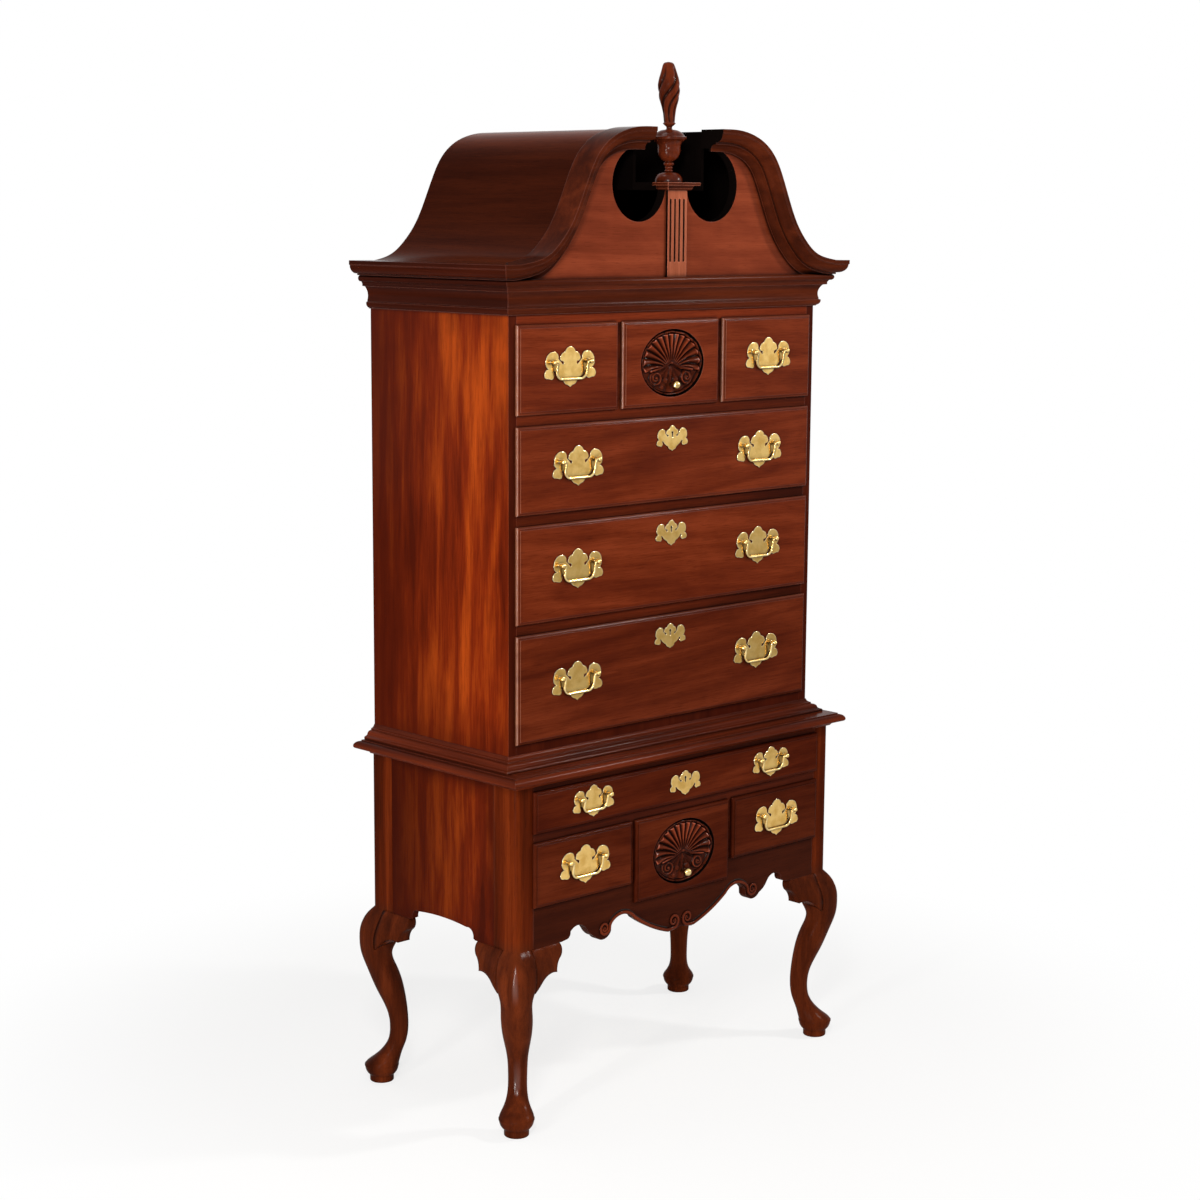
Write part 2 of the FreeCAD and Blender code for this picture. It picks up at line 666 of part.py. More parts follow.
def make_runners():
    """Strips that the drawer sides slide on, with guide strips in the lower case."""
    runners = []
    for z in row_bottoms[1:]:
        top = z + lip_overlap
        runners += both_sides(board(opening_half - runner_width, opening_half, rail_depth, upper_back_face,
                                    top - case_board, top))
    top = row_bottoms[-1] + lip_overlap
    stile = upper_shell_width / 2 + upper_stile_gap / 2
    runners += both_sides(board(stile - runner_width, stile + runner_width, rail_depth, upper_back_face,
                                top - case_board, top))
    inner = lower_opening_half - runner_width
    outer = lower_half - panel_setback - panel_board
    y0 = lower_front + post_depth
    y1 = lower_rear - post_depth
    rail_back = lower_front + rail_depth
    for floor, start in ((lower_long_bottom + lip_overlap, rail_back),
                         (lower_side_bottom + lip_overlap, lower_front + apron_board)):
        runners += both_sides(board(inner, lower_opening_half, start, lower_back_face, floor - case_board, floor))
        runners += both_sides(board(lower_opening_half, outer, y0, y1, floor - case_board, floor + guide_height))
    start = lower_front + apron_board
    stile_in = lower_shell_width / 2 - lip_overlap
    side_floor = lower_side_bottom + lip_overlap
    shell_floor = lower_shell_bottom + lip_overlap
    runners += both_sides(board(stile_in, stile_in + runner_width, start, lower_back_face,
                                side_floor - case_board, side_floor))
    runners += both_sides(board(stile_in - runner_width, stile_in, start, lower_back_face,
                                shell_floor - case_board, shell_floor))
    save("drawer_runners", runners)


def make_bonnet():
    save("base_moulding", base_moulding())
    save("cornice_moulding", bed_moulding())
    save("tympanum", [tympanum()])
    neck = swan_neck()
    save("crown_moulding", both_sides(neck) + both_sides(crown_return()))
    pieces = both_sides(roof_sheet()) + both_sides(well_cheek()) + [well_floor()]
    rear = rear_scroll()
    pieces.append(rear.fuse(mirrored(rear)).removeSplitter().Solids[0])
    save("bonnet", pieces)
    save("plinth", plinth())
    save("finial", [finial()])


# ---------------------------------------------------------------- brasses

def plate_outline(place, scale):
    """Batwing plate: crown in the middle, an ear over each post, curls and a pendant."""
    crown = [(8.2, 30.6, 13.8, 23.8), (15.4, 21.6), (22.6, 19.4, 26.8, 12.4), (28.0, 7.2, 23.6, 4.4), (18.6, 3.0)]
    valley = [(18.4, -0.6, 20.8, -3.4), (27.0, 3.0, 33.0, 8.6)]
    ear = [(35.4, 18.4, 46.8, 23.2), (60.2, 18.8, 67.4, 4.2), (66.6, -5.2, 59.2, -11.6)]
    curl = [(65.4, -12.8, 70.6, -19.6), (70.2, -27.8, 62.4, -30.6), (54.6, -32.4), (45.4, -28.4, 47.0, -19.8)]
    body = [(46.0, -16.8, 42.2, -17.0), (33.6, -26.2, 19.8, -33.8)]
    pendant = [(18.6, -37.0), (14.6, -42.0, 8.0, -44.8), (4.4, -46.4, 0.0, -49.8)]
    start = (0.0, 33.0)
    steps = mirrored_steps(start, crown + valley + ear + curl + body + pendant)
    scaled = [tuple(value * scale for value in step) for step in steps]
    return outline(place, tuple(value * scale for value in start), scaled)


def pull_plate(x, face, z, scale):
    wire = plate_outline(lambda a, b: Vector(x + a, face, z + b), scale)
    plate = Part.Face(wire).extrude(Vector(0, -plate_thickness, 0))
    for side in (-1, 1):
        plate = drilled(plate, x + side * pull_bore / 2 * scale, face - plate_thickness - 1, z + post_rise * scale,
                        shank_radius + hole_clearance, plate_thickness + 2)
    return plate


def pull_posts(x, face, z, scale, inner_face):
    """Two ball-headed posts with their nuts; each head is bored for the bail's pin."""
    pieces = []
    outward = Vector(0, -1, 0)
    plate_face = face - plate_thickness
    pivot = plate_face - pivot_standoff
    for side in (-1, 1):
        px = x + side * pull_bore / 2 * scale
        ball = Part.makeSphere(ball_radius, Vector(px, pivot, z))
        collar = Part.makeCylinder(collar_radius, pivot_standoff - 1.0, Vector(px, plate_face, z), outward)
        length = inner_face + nut_thickness - plate_face
        shank = Part.makeCylinder(shank_radius, length, Vector(px, plate_face, z), Vector(0, 1, 0))
        post = ball.fuse(collar).fuse(shank)
        start = Vector(px - side * (ball_radius + 1), pivot, z)
        post = post.cut(Part.makeCylinder(pin_radius + pin_clearance, ball_radius + 1 + pin_entry + pin_clearance,
                                          start, Vector(side, 0, 0)))
        pieces.append(post.Solids[0])
        nut = Part.makeCylinder(nut_radius, nut_thickness, Vector(px, inner_face, z), Vector(0, 1, 0))
        pieces.append(drilled(nut, px, inner_face - 1, z, shank_radius + hole_clearance / 2, nut_thickness + 2))
    return pieces


def bail(x, face, z, scale):
    """Drop handle: two pins turned outwards, arms and a rounded bow resting on the plate."""
    half = pull_bore / 2 * scale
    arm = half - ball_radius - bail_radius - bail_gap
    drop = bail_drop * scale
    corner = bail_corner * scale
    pivot = face - plate_thickness - pivot_standoff
    end = arm + bail_bend

    def at(a, w):
        return Vector(x + a, pivot, z - w)

    short = 1 - math.sqrt(0.5)
    arms = []
    for side in (-1, 1):
        knee = Part.Arc(at(side * end, 0), at(side * (arm + bail_bend * short), bail_bend * short),
                        at(side * arm, bail_bend))
        down = Part.LineSegment(at(side * arm, bail_bend), at(side * arm, drop - corner))
        turn = Part.Arc(at(side * arm, drop - corner), at(side * (arm - corner * short), drop - corner * short),
                        at(side * (arm - corner), drop))
        arms.append([knee.toShape(), down.toShape(), turn.toShape()])
    bottom = Part.makeLine(at(corner - arm, drop), at(arm - corner, drop))
    path = Part.Wire(arms[0] + [bottom] + arms[1][::-1])
    ring = Part.Wire(Part.makeCircle(bail_radius, at(-end, 0), Vector(1, 0, 0)))
    bow = path.makePipeShell([ring], True, False)
    for side in (-1, 1):
        pin = Part.makeCylinder(pin_radius, half + pin_entry - end + 0.5, at(side * (end - 0.5), 0), Vector(side, 0, 0))
        bow = bow.fuse(pin)
    lean = math.degrees(math.asin((pivot_standoff - bail_radius - bail_seat) / drop))
    bow.rotate(Vector(x, pivot, z), Vector(1, 0, 0), lean)
    return bow.removeSplitter().Solids[0]


def keyhole(x, y0, y1, z):
    """Round eye over a straight slot, centred at height z, from depth y0 to y1."""
    eye_z = z + keyhole_height / 2 - keyhole_radius
    eye = Part.makeCylinder(keyhole_radius, y1 - y0, Vector(x, y0, eye_z), Vector(0, 1, 0))
    return eye.fuse(board(x - keyhole_slot / 2, x + keyhole_slot / 2, y0, y1, z - keyhole_height / 2, eye_z))


def escutcheon(x, face, z):
    """Key plate of the same outline as the pulls, with a keyhole."""
    wire = plate_outline(lambda a, b: Vector(x + a, face, z + b), escutcheon_scale)
    plate = Part.Face(wire).extrude(Vector(0, -plate_thickness, 0))
    return plate.cut(keyhole(x, face - plate_thickness - 1, face + 1, z + keyhole_rise))


def knob(x, face, z, seat, inner_face):
    """Turned ball knob with its stem through the front and a nut behind."""
    outward = Vector(0, -1, 0)
    centre = face - (knob_reach - knob_radius)
    ball = Part.makeSphere(knob_radius, Vector(x, centre, z))
    stem = Part.makeCylinder(collar_radius, seat - centre, Vector(x, seat, z), outward)
    rose = Part.makeCylinder(knob_radius - 1.0, 1.5, Vector(x, seat, z), outward)
    shank = Part.makeCylinder(shank_radius, inner_face + nut_thickness - seat, Vector(x, seat, z), Vector(0, 1, 0))
    nut = Part.makeCylinder(nut_radius, nut_thickness, Vector(x, inner_face, z), Vector(0, 1, 0))
    nut = drilled(nut, x, inner_face - 1, z, shank_radius + hole_clearance / 2, nut_thickness + 2)
    return [ball.fuse(stem).fuse(rose).fuse(shank).Solids[0], nut]


# ---------------------------------------------------------------- drawers

def drawer_front(x0, x1, z0, z1, case_front):
    """Lipped front: thumbnail edge, a slightly raised field and the body that fills the opening."""
    edge = lip_edge + lip_round
    lip = board(x0, x1, case_front - edge, case_front - lip_seat, z0, z1)
    face_edges = [e for e in lip.Edges if all(abs(v.Y - (case_front - edge)) < 1e-6 for v in e.Vertexes)]
    lip = lip.makeFillet(lip_round - 0.1, face_edges)
    inset = field_inset
    field = board(x0 + inset, x1 - inset, case_front - face_proud, case_front - edge, z0 + inset, z1 - inset)
    fit = lip_overlap + front_clearance
    body = board(x0 + fit, x1 - fit, case_front - lip_seat, case_front + front_board, z0 + fit, z1 - fit)
    return lip.fuse(field).fuse(body).removeSplitter()


def drawer_box(x0, x1, z0, z1, case_front, back_face):
    """Two sides, a back and a bottom, held by the front; the sides run on the runners."""
    near = case_front + front_board
    far = back_face - box_back_gap
    left = x0 + lip_overlap + box_clearance
    right = x1 - lip_overlap - box_clearance
    low = z0 + lip_overlap + slide_gap
    high = z1 - lip_overlap - box_headroom
    floor = low + bottom_rise
    pieces = [board(left, left + box_side, near, far, low, high),
              board(right - box_side, right, near, far, low, high),
              board(left + box_side, right - box_side, far - box_side, far, floor + box_bottom, high),
              board(left + box_side, right - box_side, near, far, floor, floor + box_bottom)]
    return pieces


def carved_recess(front, x, z, face):
    """Oval recess with a low domed ground where the shell is carved."""
    squeeze = shell_half_height / shell_half_width
    pocket = Part.makeCylinder(shell_half_width, shell_depth + 1, Vector(0, 0, 0), Vector(0, 1, 0))
    radius = ((shell_half_width - shell_rim) ** 2 + shell_crown ** 2) / (2 * shell_crown)
    ball = Part.makeSphere(radius, Vector(0, radius + 1 + shell_depth - shell_crown, 0))
    dome = ball.common(Part.makeCylinder(shell_half_width - shell_rim, shell_depth + 2, Vector(0, 0, 0),
                                         Vector(0, 1, 0)))
    cutter = pocket.cut(dome)
    flatten = FreeCAD.Matrix()
    flatten.scale(1.0, 1.0, squeeze)
    cutter = cutter.transformGeometry(flatten)
    cutter.translate(Vector(x, face - 1, z))
    return front.cut(cutter).Solids[0]


def drawer_plan():
    """Every drawer: name, lip corners, case front, back face, kind and brass scale."""
    plan = []
    shell = upper_shell_width / 2
    outer = shell + upper_stile_gap
    z0 = row_bottoms[-1]
    z1 = row_tops[-1]
    top = (0.0, upper_back_face)
    plan.append(("upper_left_drawer", -upper_lip_half, -outer, z0, z1) + top + ("single", 1.0))
    plan.append(("upper_shell_drawer", -shell, shell, z0, z1) + top + ("shell", 1.0))
    plan.append(("upper_right_drawer", outer, upper_lip_half, z0, z1) + top + ("single", 1.0))
    for number in (1, 2, 3):
        row = len(upper_rows) - 1 - number
        plan.append(("upper_long_drawer_%d" % number, -upper_lip_half, upper_lip_half, row_bottoms[row],
                     row_tops[row]) + top + ("long", 1.0))
    low = (lower_front, lower_back_face)
    shell = lower_shell_width / 2
    outer = shell + lower_stile_gap
    plan.append(("lower_long_drawer", -lower_lip_half, lower_lip_half, lower_long_bottom, lower_long_top)
                + low + ("long", small_pull_scale))
    plan.append(("lower_left_drawer", -lower_lip_half, -outer, lower_side_bottom, lower_side_top)
                + low + ("single", 1.0))
    plan.append(("lower_shell_drawer", -shell, shell, lower_shell_bottom, lower_side_top) + low + ("shell", 1.0))
    plan.append(("lower_right_drawer", outer, lower_lip_half, lower_side_bottom, lower_side_top)
                + low + ("single", 1.0))
    return plan


def make_drawer(name, x0, x1, z0, z1, case_front, back_face, kind, scale):
    face = case_front - face_proud
    inner = case_front + front_board
    middle_x = (x0 + x1) / 2
    middle_z = (z0 + z1) / 2
    front = drawer_front(x0, x1, z0, z1, case_front)
    save(name + "_box", drawer_box(x0, x1, z0, z1, case_front, back_face))
    if kind == "shell":
        shell_z = middle_z
        front = carved_recess(front, middle_x, shell_z, face)
        knob_z = shell_z - knob_below
        front = drilled(front, middle_x, face - 1, knob_z, shank_radius + hole_clearance, inner - face + 2)
        ground_half = shell_half_height * (1 - shell_rim / shell_half_width)
        seat = face + shell_depth - shell_crown * (1 - ((knob_below + knob_radius) / ground_half) ** 2)
        front = drilled(front, middle_x, face - 1, knob_z, knob_radius, seat - face + 1)
        save(name + "_knob", knob(middle_x, face, knob_z, seat, inner))
        save(name + "_front", [front.Solids[0]])
        return
    handles = {"": middle_x} if kind == "single" else {"_left": -long_pull_x, "_right": long_pull_x}
    plate_z = middle_z + pull_rise * scale
    post_z = plate_z + post_rise * scale
    brasses = []
    for suffix, x in handles.items():
        for side in (-1, 1):
            front = drilled(front, x + side * pull_bore / 2 * scale, face - 1, post_z,
                            shank_radius + hole_clearance, inner - face + 2)
        brasses.append(pull_plate(x, face, plate_z, scale))
        brasses += pull_posts(x, face, post_z, scale, inner)
        save(name + suffix + "_bail", [bail(x, face, post_z, scale)])
    if kind == "long":
        key_z = z1 - escutcheon_drop
        front = front.cut(keyhole(middle_x, face - 1, face + keyhole_depth, key_z + keyhole_rise))
        brasses.append(escutcheon(middle_x, face, key_z))
    save(name + "_front", [front.Solids[0]])
    save(name + "_brasses", brasses)


make_legs()
make_lower_case()
make_upper_case()
save("back_panels", save_backs)
make_runners()
make_bonnet()
for drawer in drawer_plan():
    make_drawer(*drawer)
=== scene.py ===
import math
from functools import reduce

import bmesh
import bpy
import numpy as np
from mathutils import Matrix, Vector


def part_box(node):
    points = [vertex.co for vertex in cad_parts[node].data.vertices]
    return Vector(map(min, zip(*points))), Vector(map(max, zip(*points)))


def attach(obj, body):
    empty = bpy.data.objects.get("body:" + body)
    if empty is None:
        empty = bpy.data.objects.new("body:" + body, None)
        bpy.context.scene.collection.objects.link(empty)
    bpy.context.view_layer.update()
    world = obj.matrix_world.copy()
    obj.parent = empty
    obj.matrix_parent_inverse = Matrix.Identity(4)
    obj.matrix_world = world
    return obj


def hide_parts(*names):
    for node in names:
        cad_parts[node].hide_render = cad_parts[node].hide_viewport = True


# Finishes, carving and setting for a bonnet-top highboy of mahogany and brass.
# X to the right, Y to the back, Z up from the floor. Lengths are metres, or millimetres where a
# comment says so.

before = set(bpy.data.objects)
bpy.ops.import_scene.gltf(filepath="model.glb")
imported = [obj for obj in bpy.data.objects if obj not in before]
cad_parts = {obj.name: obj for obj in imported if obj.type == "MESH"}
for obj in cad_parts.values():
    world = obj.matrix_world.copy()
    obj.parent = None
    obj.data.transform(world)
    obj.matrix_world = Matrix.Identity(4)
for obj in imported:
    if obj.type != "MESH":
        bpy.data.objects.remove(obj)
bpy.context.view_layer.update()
MM = 0.001
X, Y, Z = range(3)

# A mix node gives all its kinds of input the same names, so they are chosen by number.
VECTOR_A, VECTOR_B, VECTOR_OUT = 4, 5, 1
COLOUR_A, COLOUR_B, COLOUR_OUT = 6, 7, 2


# ------------------------------------------------------------ finish building

class Value:
    """The output of a shader node, ready for ordinary arithmetic."""

    def __init__(self, finish, socket):
        self.finish = finish
        self.socket = socket

    def math(self, operation, first, second=0.0):
        return self.finish.node("ShaderNodeMath", {"operation": operation}, {0: first, 1: second})

    def __add__(self, other):
        return self.math("ADD", self, other)

    def __radd__(self, other):
        return self.math("ADD", other, self)

    def __sub__(self, other):
        return self.math("SUBTRACT", self, other)

    def __rsub__(self, other):
        return self.math("SUBTRACT", other, self)

    def __mul__(self, other):
        return self.math("MULTIPLY", self, other)

    def __gt__(self, other):
        return self.math("GREATER_THAN", self, other)

    def __lt__(self, other):
        return self.math("LESS_THAN", self, other)

    def __abs__(self):
        return self.math("ABSOLUTE", self)

    def smaller(self, other):
        return self.math("MINIMUM", self, other)

    def larger(self, other):
        return self.math("MAXIMUM", self, other)


def set_stops(ramp, stops):
    """Places and colours of a colour ramp."""
    while len(ramp.elements) < len(stops):
        ramp.elements.new(0.5)
    for element, (place, colour) in zip(ramp.elements, stops):
        element.position = place
        element.color = rgba(colour)


class Finish:
    """A finish being mixed; node() is the one way in which its nodes are made."""

    def __init__(self, tree):
        self.tree = tree
        self.tree.nodes.clear()

    def node(self, kind, settings=None, sockets=None, out=0):
        made = self.tree.nodes.new(kind)
        for key, value in (settings or {}).items():
            if key == "stops":
                set_stops(made.color_ramp, value)
            else:
                setattr(made, key, value)
        for key, value in (sockets or {}).items():
            if isinstance(value, Value):
                self.tree.links.new(value.socket, made.inputs[key])
            else:
                made.inputs[key].default_value = value
        return Value(self, made.outputs[out]) if made.outputs else None

    def axis(self, where, number):
        return self.node("ShaderNodeSeparateXYZ", {}, {0: where}, out=number)

    def position(self):
        return self.node("ShaderNodeTexCoord", out="Object")

    def coordinate(self, number):
        """Where the surface is along one axis of the object."""
        return self.axis(self.position(), number)

    def facing(self, number):
        """How far the surface faces along one axis of the object, -1 to 1."""
        return self.axis(self.node("ShaderNodeTexCoord", out="Normal"), number)

    def place(self, scale, shift=(0, 0, 0), lean=0.0, where=None):
        """Position on the object, or another position, leaned over and stretched by scale."""
        sockets = {"Vector": where or self.position(), "Location": shift, "Rotation": (lean, lean, 0.0),
                   "Scale": tuple(1 / s for s in scale)}
        return self.node("ShaderNodeMapping", {"vector_type": "TEXTURE"}, sockets)

    def noise(self, where, detail, roughness=0.5, distortion=0.0):
        sockets = {"Vector": where, "Scale": 1.0, "Detail": detail, "Roughness": roughness,
                   "Distortion": distortion}
        return self.node("ShaderNodeTexNoise", {}, sockets)

    def ramp(self, value, *stops):
        return self.node("ShaderNodeValToRGB", {"stops": stops}, {0: value})

    def blend(self, share, first, second):
        return self.node("ShaderNodeMix", {"data_type": "RGBA"},
                         {0: share, COLOUR_A: first, COLOUR_B: second}, out=COLOUR_OUT)

    def rise(self, value, low, high):
        """0 below low, 1 above high, with a smooth slope between them."""
        return self.node("ShaderNodeMapRange", {"interpolation_type": "SMOOTHSTEP"},
                         {"Value": value, "From Min": low, "From Max": high})

    def band(self, value, start, full, waning, end):
        """1 from full to waning, 0 before start and past end."""
        return self.rise(value, start, full) * (1 - self.rise(value, waning, end))

    def rounded_edges(self, radius, samples):
        """The normal with sharp edges rounded off, and how far that turns it, 0 on flat faces."""
        normal = self.node("ShaderNodeBevel", {"samples": samples}, {"Radius": radius})
        flat = self.node("ShaderNodeNewGeometry", out="True Normal")
        same = self.node("ShaderNodeVectorMath", {"operation": "DOT_PRODUCT"}, {0: normal, 1: flat}, out=1)
        return normal, 1 - same

    def creases(self, reach, low, high):
        """1 in corners with another face within reach, 0 in the open."""
        open_air = self.node("ShaderNodeAmbientOcclusion", {"samples": 6}, {"Distance": reach}, out="AO")
        return self.rise(1 - open_air, low, high)

    def bump(self, height, strength, depth, **normal):
        return self.node("ShaderNodeBump", {}, {"Strength": strength, "Distance": depth, "Height": height,
                                                **normal})

    def shader(self, **sockets):
        return self.node("ShaderNodeBsdfPrincipled", {}, {k.replace("_", " "): v for k, v in sockets.items()})

    def mix(self, share, first, second):
        return self.node("ShaderNodeMixShader", {}, {0: share, 1: first, 2: second})

    def finish(self, shader, kind="ShaderNodeOutputMaterial"):
        self.node(kind, {}, {"Surface": shader})


def start_finish(name):
    """A new material and the finish that will be mixed in it."""
    material = bpy.data.materials.new(name)
    material.use_nodes = True
    return material, Finish(material.node_tree)


def tint(red, green, blue):
    """A colour given as everyday 0-255 values, as the renderer wants it."""
    shares = (red / 255, green / 255, blue / 255)
    return tuple(((s + 0.055) / 1.055) ** 2.4 if s > 0.04 else s / 12.92 for s in shares)


def rgba(colour, share=1.0):
    """A colour, dimmed or brightened by share, for a colour input."""
    return (*(c * share for c in colour), 1.0)


def shaded(tones, share):
    """The same wood, darker or lighter."""
    return tuple(tuple(c * share for c in colour) for colour in tones)


def stretched(grain, along, across):
    """Scale that draws a pattern out along the grain."""
    return tuple(along if axis == grain else across for axis in (X, Y, Z))


def beside(f, corner):
    """The runs of a moulding past its mitres, beside a case with this front corner."""
    half_width, front = corner
    return (abs(f.coordinate(X)) - half_width) > (front - f.coordinate(Y))


def mitred(f, corner):
    """Position with X and Y exchanged past the mitres, so that side runs have their grain along them."""
    turned = f.node("ShaderNodeCombineXYZ", {}, {axis: f.coordinate(of) for axis, of in enumerate((Y, X, Z))})
    return f.node("ShaderNodeMix", {"data_type": "VECTOR"},
                  {0: beside(f, corner), VECTOR_A: f.position(), VECTOR_B: turned}, out=VECTOR_OUT)


def wood_tone(f, grain, seed, lean=0.0, mottle=0.0, where=None, pace=1.0):
    """Figure of the board, 0 dark to 1 bright, and its fine fibre.

    The figure is made of broad bands, ribbon stripes, mottle and fibre; pace shortens it along the grain.
    """
    shift = (seed * 3.7, seed * 1.9, seed * 2.3)
    bands = f.noise(f.place(stretched(grain, 0.8 * pace, 8.0), shift, lean, where), 2.0, 0.5, 0.7)
    ribbon = f.noise(f.place(stretched(grain, 1.9 * pace, 42.0), shift, lean, where), 4.0, 0.55, 0.3)
    cloud = f.noise(f.place(stretched(grain, 7.0, 19.0), shift, 2.2 * lean, where), 3.0, 0.5, 0.8)
    fibre = f.noise(f.place(stretched(grain, 8.0, 420.0), shift, 0.0, where), 3.0, 0.6)
    plain = bands * (0.44 - 0.2 * mottle) + ribbon * (0.42 - 0.12 * mottle)
    return plain + cloud * (0.02 + 0.32 * mottle) + fibre * 0.12, fibre


def figured(f, tone, tones):
    """Colour of the wood for each tone of its figure."""
    dark, middle, bright = tones
    glow = tuple(c * 1.3 for c in bright)
    return f.ramp(tone, (0.38, dark), (0.49, middle), (0.59, bright), (0.70, glow))


def edge_toning_and_shade(f, box, across, reach):
    """1 in the middle of a board, falling to 0 at its edges, which are darkened partly by toning of the
    lacquer and partly as painted shade.
    """
    low, high = box
    distances = []
    for axis in across:
        place = f.coordinate(axis)
        distances += [place - low[axis], high[axis] - place]
    uneven = f.noise(f.place((14, 14, 14)), 2.0) - 0.5
    return f.rise(reduce(Value.smaller, distances) + uneven * reach * 0.9, -0.1 * reach, reach)


def carving_painted_light(f, colour, bright):
    """Colour with painted shade in the grooves and a painted highlight on the ridges, and the shine of those
    ridges.
    """
    groove = f.node("ShaderNodeAttribute", {"attribute_name": "groove"}, out="Fac")
    # painted highlight on the ridges, then painted shade in the grooves
    pale = tuple(c * k for c, k in zip(bright, (3.6, 3.8, 4.2)))
    colour = f.blend(f.rise(0 - groove, 0.0, 0.7) * 0.85, colour, rgba(pale))
    colour = f.blend(f.rise(groove, 0.02, 0.75) * 0.96, colour, rgba(tint(14, 5, 3)))
    return colour, f.rise(0 - groove, 0.2, 0.8)


def mahogany(name, grain, tones, seed, lean=0.0, mottle=0.0, gloss=0.02, rough=0.17, pace=1.0,
             other=None, mitre=None, black_faces=None, painted_falloff=None, toning_and_shade=None, toning_and_shade_share=0.82,
             edge_highlight=0.45, edge=1.6, burnished=None, crease_shade=0.85, painted_relief_light=False):
    """Lacquered mahogany, its grain along one axis.

    lean: slope of the grain
    mottle: 0 for straight figure to 1 for mottled
    gloss, rough: shine and roughness of the lacquer all over
    pace: shortens the figure along the grain
    other: (where, tones), other tones for some parts, as other wood, as a painted highlight on drawer-front
    lips and as a painted sheen on the roof
    mitre: front corner of the case that a moulding runs round, with its grain turned past the mitres
    black_faces: which faces are made near-black, on the plinth and the shell recesses as painted shade
    painted_falloff: (axis, light end, dark end, share), painted shade that darkens the wood towards one side,
    where less light falls
    toning_and_shade, toning_and_shade_share: (box, axes, reach) of a board whose edges are darkened, partly
    by toning of the lacquer and partly as painted shade, and how dark
    edge_highlight, edge: how strongly its sharp edges are painted pale as a highlight and coated shiny, and
    how wide in millimetres
    burnished: which other parts are polished to a full shine
    crease_shade: how dark the painted shade in its creases is
    painted_relief_light: carving has painted shade in its grooves and a painted highlight on its ridges
    """
    material, f = start_finish(name)
    dark, _, bright = tones
    tone, fibre = wood_tone(f, grain, seed, lean, mottle, mitred(f, mitre) if mitre else None, pace)
    colour = figured(f, tone, tones)
    if other is not None:
        where, other_tones = other
        colour = f.blend(where(f), colour, figured(f, tone, other_tones))
    pores = f.noise(f.place(stretched(grain, 26.0, 1100.0), (seed, 0, 0)), 1.0)
    colour = f.blend((pores > 0.63) * 0.4, colour, rgba(dark, 0.5))
    # painted shade in carved grooves and a painted highlight on carved ridges
    if painted_relief_light:
        colour, ridge_shine = carving_painted_light(f, colour, bright)
    # sharp edges painted pale as a highlight, and given a shiny coat
    rounded, turned = f.rounded_edges(edge * MM, 5 if edge < 8 else 8)
    shine = f.rise(turned, 0.01, 0.16) * edge_highlight
    colour = f.blend(shine, colour, rgba(tuple(c * 2.2 + 0.01 for c in bright)))
    if burnished is not None:
        shine = shine.larger(burnished(f))
    if painted_relief_light:
        shine = shine.larger(ridge_shine)
    # painted shade, near-black, in creases and corners close to another face
    if crease_shade > 0:
        colour = f.blend(f.creases(11.0 * MM, 0.09, 0.6) * crease_shade, colour, rgba(tint(16, 6, 4)))
    # painted shade: the wood darkened towards one side, where less light falls
    if painted_falloff is not None:
        axis, light_end, dark_end, share = painted_falloff
        colour = f.blend(f.rise(f.coordinate(axis), light_end, dark_end) * share, colour, rgba(dark, 0.6))
    # board edges darkened, partly toning of the lacquer and partly painted shade
    if toning_and_shade is not None:
        colour = f.blend((1 - edge_toning_and_shade(f, *toning_and_shade)) * toning_and_shade_share, colour, rgba(dark, 0.75))
    shader = f.shader(Base_Color=colour, Roughness=rough + (fibre - 0.5) * 0.08,
                      Normal=f.bump(fibre, 0.2, 0.1 * MM, Normal=rounded),
                      Specular_IOR_Level=gloss, Coat_Weight=shine, Coat_Roughness=0.2)
    # near-black on chosen faces; on the plinth and the shell recesses this is painted shade
    if black_faces is not None:
        near_black = f.node("ShaderNodeBsdfDiffuse", {}, {"Color": rgba(tint(11, 7, 6)), "Roughness": 0.8})
        shader = f.mix(black_faces(f), shader, near_black)
    f.finish(shader)
    return material


def plain_wood(name, grain, dark, bright, seed):
    """Unfinished secondary wood, matt, with soft straight grain."""
    material, f = start_finish(name)
    tone, fibre = wood_tone(f, grain, seed)
    f.finish(f.shader(Base_Color=f.ramp(tone, (0.40, dark), (0.60, bright)), Roughness=0.62 + fibre * 0.1,
                      Normal=f.bump(fibre, 0.3, 0.2 * MM), Specular_IOR_Level=0.2))
    return material


